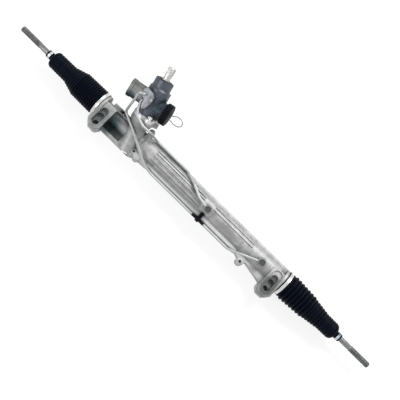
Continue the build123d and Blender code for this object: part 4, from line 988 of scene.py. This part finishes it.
class RACK_OT_stage(Operator):
    """Set the floor, the even light, the lamps and the camera."""
    bl_idname = "rack.stage"
    bl_label = "Stage"

    def execute(self, context):
        settings = context.scene.rack_stage
        scene = context.scene
        # white to the camera, to reflections and through glass, the even light to the rest
        scene.world = bpy.data.worlds.new("even light")
        scene.world.use_nodes = True
        tree = scene.world.node_tree
        even, white = tree.nodes["Background"], add_node(tree, "Background")
        for light, strength in ((even, settings.sky), (white, 1.0)):
            light.inputs["Color"].default_value = (1.0, 1.0, 1.0, 1.0)
            light.inputs["Strength"].default_value = strength
        path = add_node(tree, "LightPath")
        seen = math_node(tree, "MAXIMUM", camera_or_reflection(tree, path),
                         path.outputs["Is Transmission Ray"])
        mix = add_node(tree, "MixShader", {0: seen, 1: even.outputs[0],
                                           2: white.outputs[0]})
        tree.links.new(mix.outputs[0], tree.nodes["World Output"].inputs["Surface"])

        # floor: pale, and lit up to white only where the camera or a reflection sees it
        half = FLOOR_SIZE / 2
        mesh = bpy.data.meshes.new("floor")
        mesh.from_pydata([(-half, -half, 0), (half, -half, 0), (half, half, 0),
                          (-half, half, 0)], [], [(0, 1, 2, 3)])
        floor = bpy.data.objects.new("floor", mesh)
        scene.collection.objects.link(floor)
        floor.location.z = cad_box[0][2] - 0.5 * MM
        material, tree, shader = new_material("pale floor")
        for label, value in (("Base Color", (*[FLOOR_TONE] * 3, 1.0)),
                             ("Roughness", 0.9), ("Specular IOR Level", 0.1)):
            shader.inputs[label].default_value = value
        seen = camera_or_reflection(tree, add_node(tree, "LightPath"))
        glow = add_node(tree, "Emission", {"Strength": math_node(tree, "MULTIPLY", seen,
                                                                 FLOOR_GLOW)})
        both = add_node(tree, "AddShader", {0: shader.outputs[0], 1: glow.outputs[0]})
        tree.links.new(both.outputs[0], tree.nodes["Material Output"].inputs["Surface"])
        floor.data.materials.append(material)

        soft_lamp("key lamp", (0.2, 1.5, 1.6), LAMP_TARGET, (1.6, 0.8), settings.key)
        soft_lamp("side lamp", (-1.0, -1.1, 1.3), LAMP_TARGET, (1.0, 0.6),
                  settings.key * SIDE_LAMP_SHARE)

        # the camera looks down at the rack, which runs from upper left to lower right
        back = np.array([0.0, -math.cos(settings.elevation), math.sin(settings.elevation)])
        level = np.array([1.0, 0.0, 0.0])
        rise = np.cross(back, level)
        turn = settings.roll
        right = math.cos(turn) * level + math.sin(turn) * rise
        up = -math.sin(turn) * level + math.cos(turn) * rise
        lens = bpy.data.cameras.new("camera")
        lens.sensor_width, lens.lens = 36.0, 60.6
        place = np.array([0.0272, 0.050, 0.040]) + back * settings.distance
        scene.camera = stand("camera", lens, back, right, up, place)
        scene.view_settings.view_transform = "Standard"
        return {"FINISHED"}


# ---- sidebar and registration ----
class RACK_PT_sidebar(Panel):
    """Lists the rack's pieces and their settings."""
    bl_idname = "RACK_PT_sidebar"
    bl_label = "Steering rack"
    bl_space_type = "VIEW_3D"
    bl_region_type = "UI"
    bl_category = "Steering rack"

    def draw(self, context):
        for operator in OPERATORS:
            self.layout.operator(operator.bl_idname)
        for label in SETTINGS:
            box = self.layout.box()
            group = getattr(context.scene, label)
            for name in group.__annotations__:
                box.prop(group, name)


OPERATORS = (RACK_OT_finishes, RACK_OT_boots, RACK_OT_boot_bands, RACK_OT_tie_rods,
             RACK_OT_screws, RACK_OT_valve_trim, RACK_OT_pipes, RACK_OT_stage)
SETTINGS = {
    "rack_finishes": FinishSettings,
    "rack_boots": BootSettings,
    "rack_rods": RodSettings,
    "rack_valve": ValveSettings,
    "rack_pipes": PipeSettings,
    "rack_stage": StageSettings,
}
CLASSES = (*SETTINGS.values(), *OPERATORS, RACK_PT_sidebar)


def register():
    for kind in CLASSES:
        bpy.utils.register_class(kind)
    for label, kind in SETTINGS.items():
        setattr(bpy.types.Scene, label, PointerProperty(type=kind))


def unregister():
    for label in SETTINGS:
        delattr(bpy.types.Scene, label)
    for kind in reversed(CLASSES):
        bpy.utils.unregister_class(kind)


def main():
    """Registers the add-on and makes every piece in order."""
    register()
    bpy.ops.rack.stage()
    bpy.ops.rack.finishes()
    bpy.ops.rack.boots()
    bpy.ops.rack.boot_bands()
    bpy.ops.rack.tie_rods()
    bpy.ops.rack.screws()
    bpy.ops.rack.valve_trim()
    bpy.ops.rack.pipes()


if __name__ == "__main__":
    main()
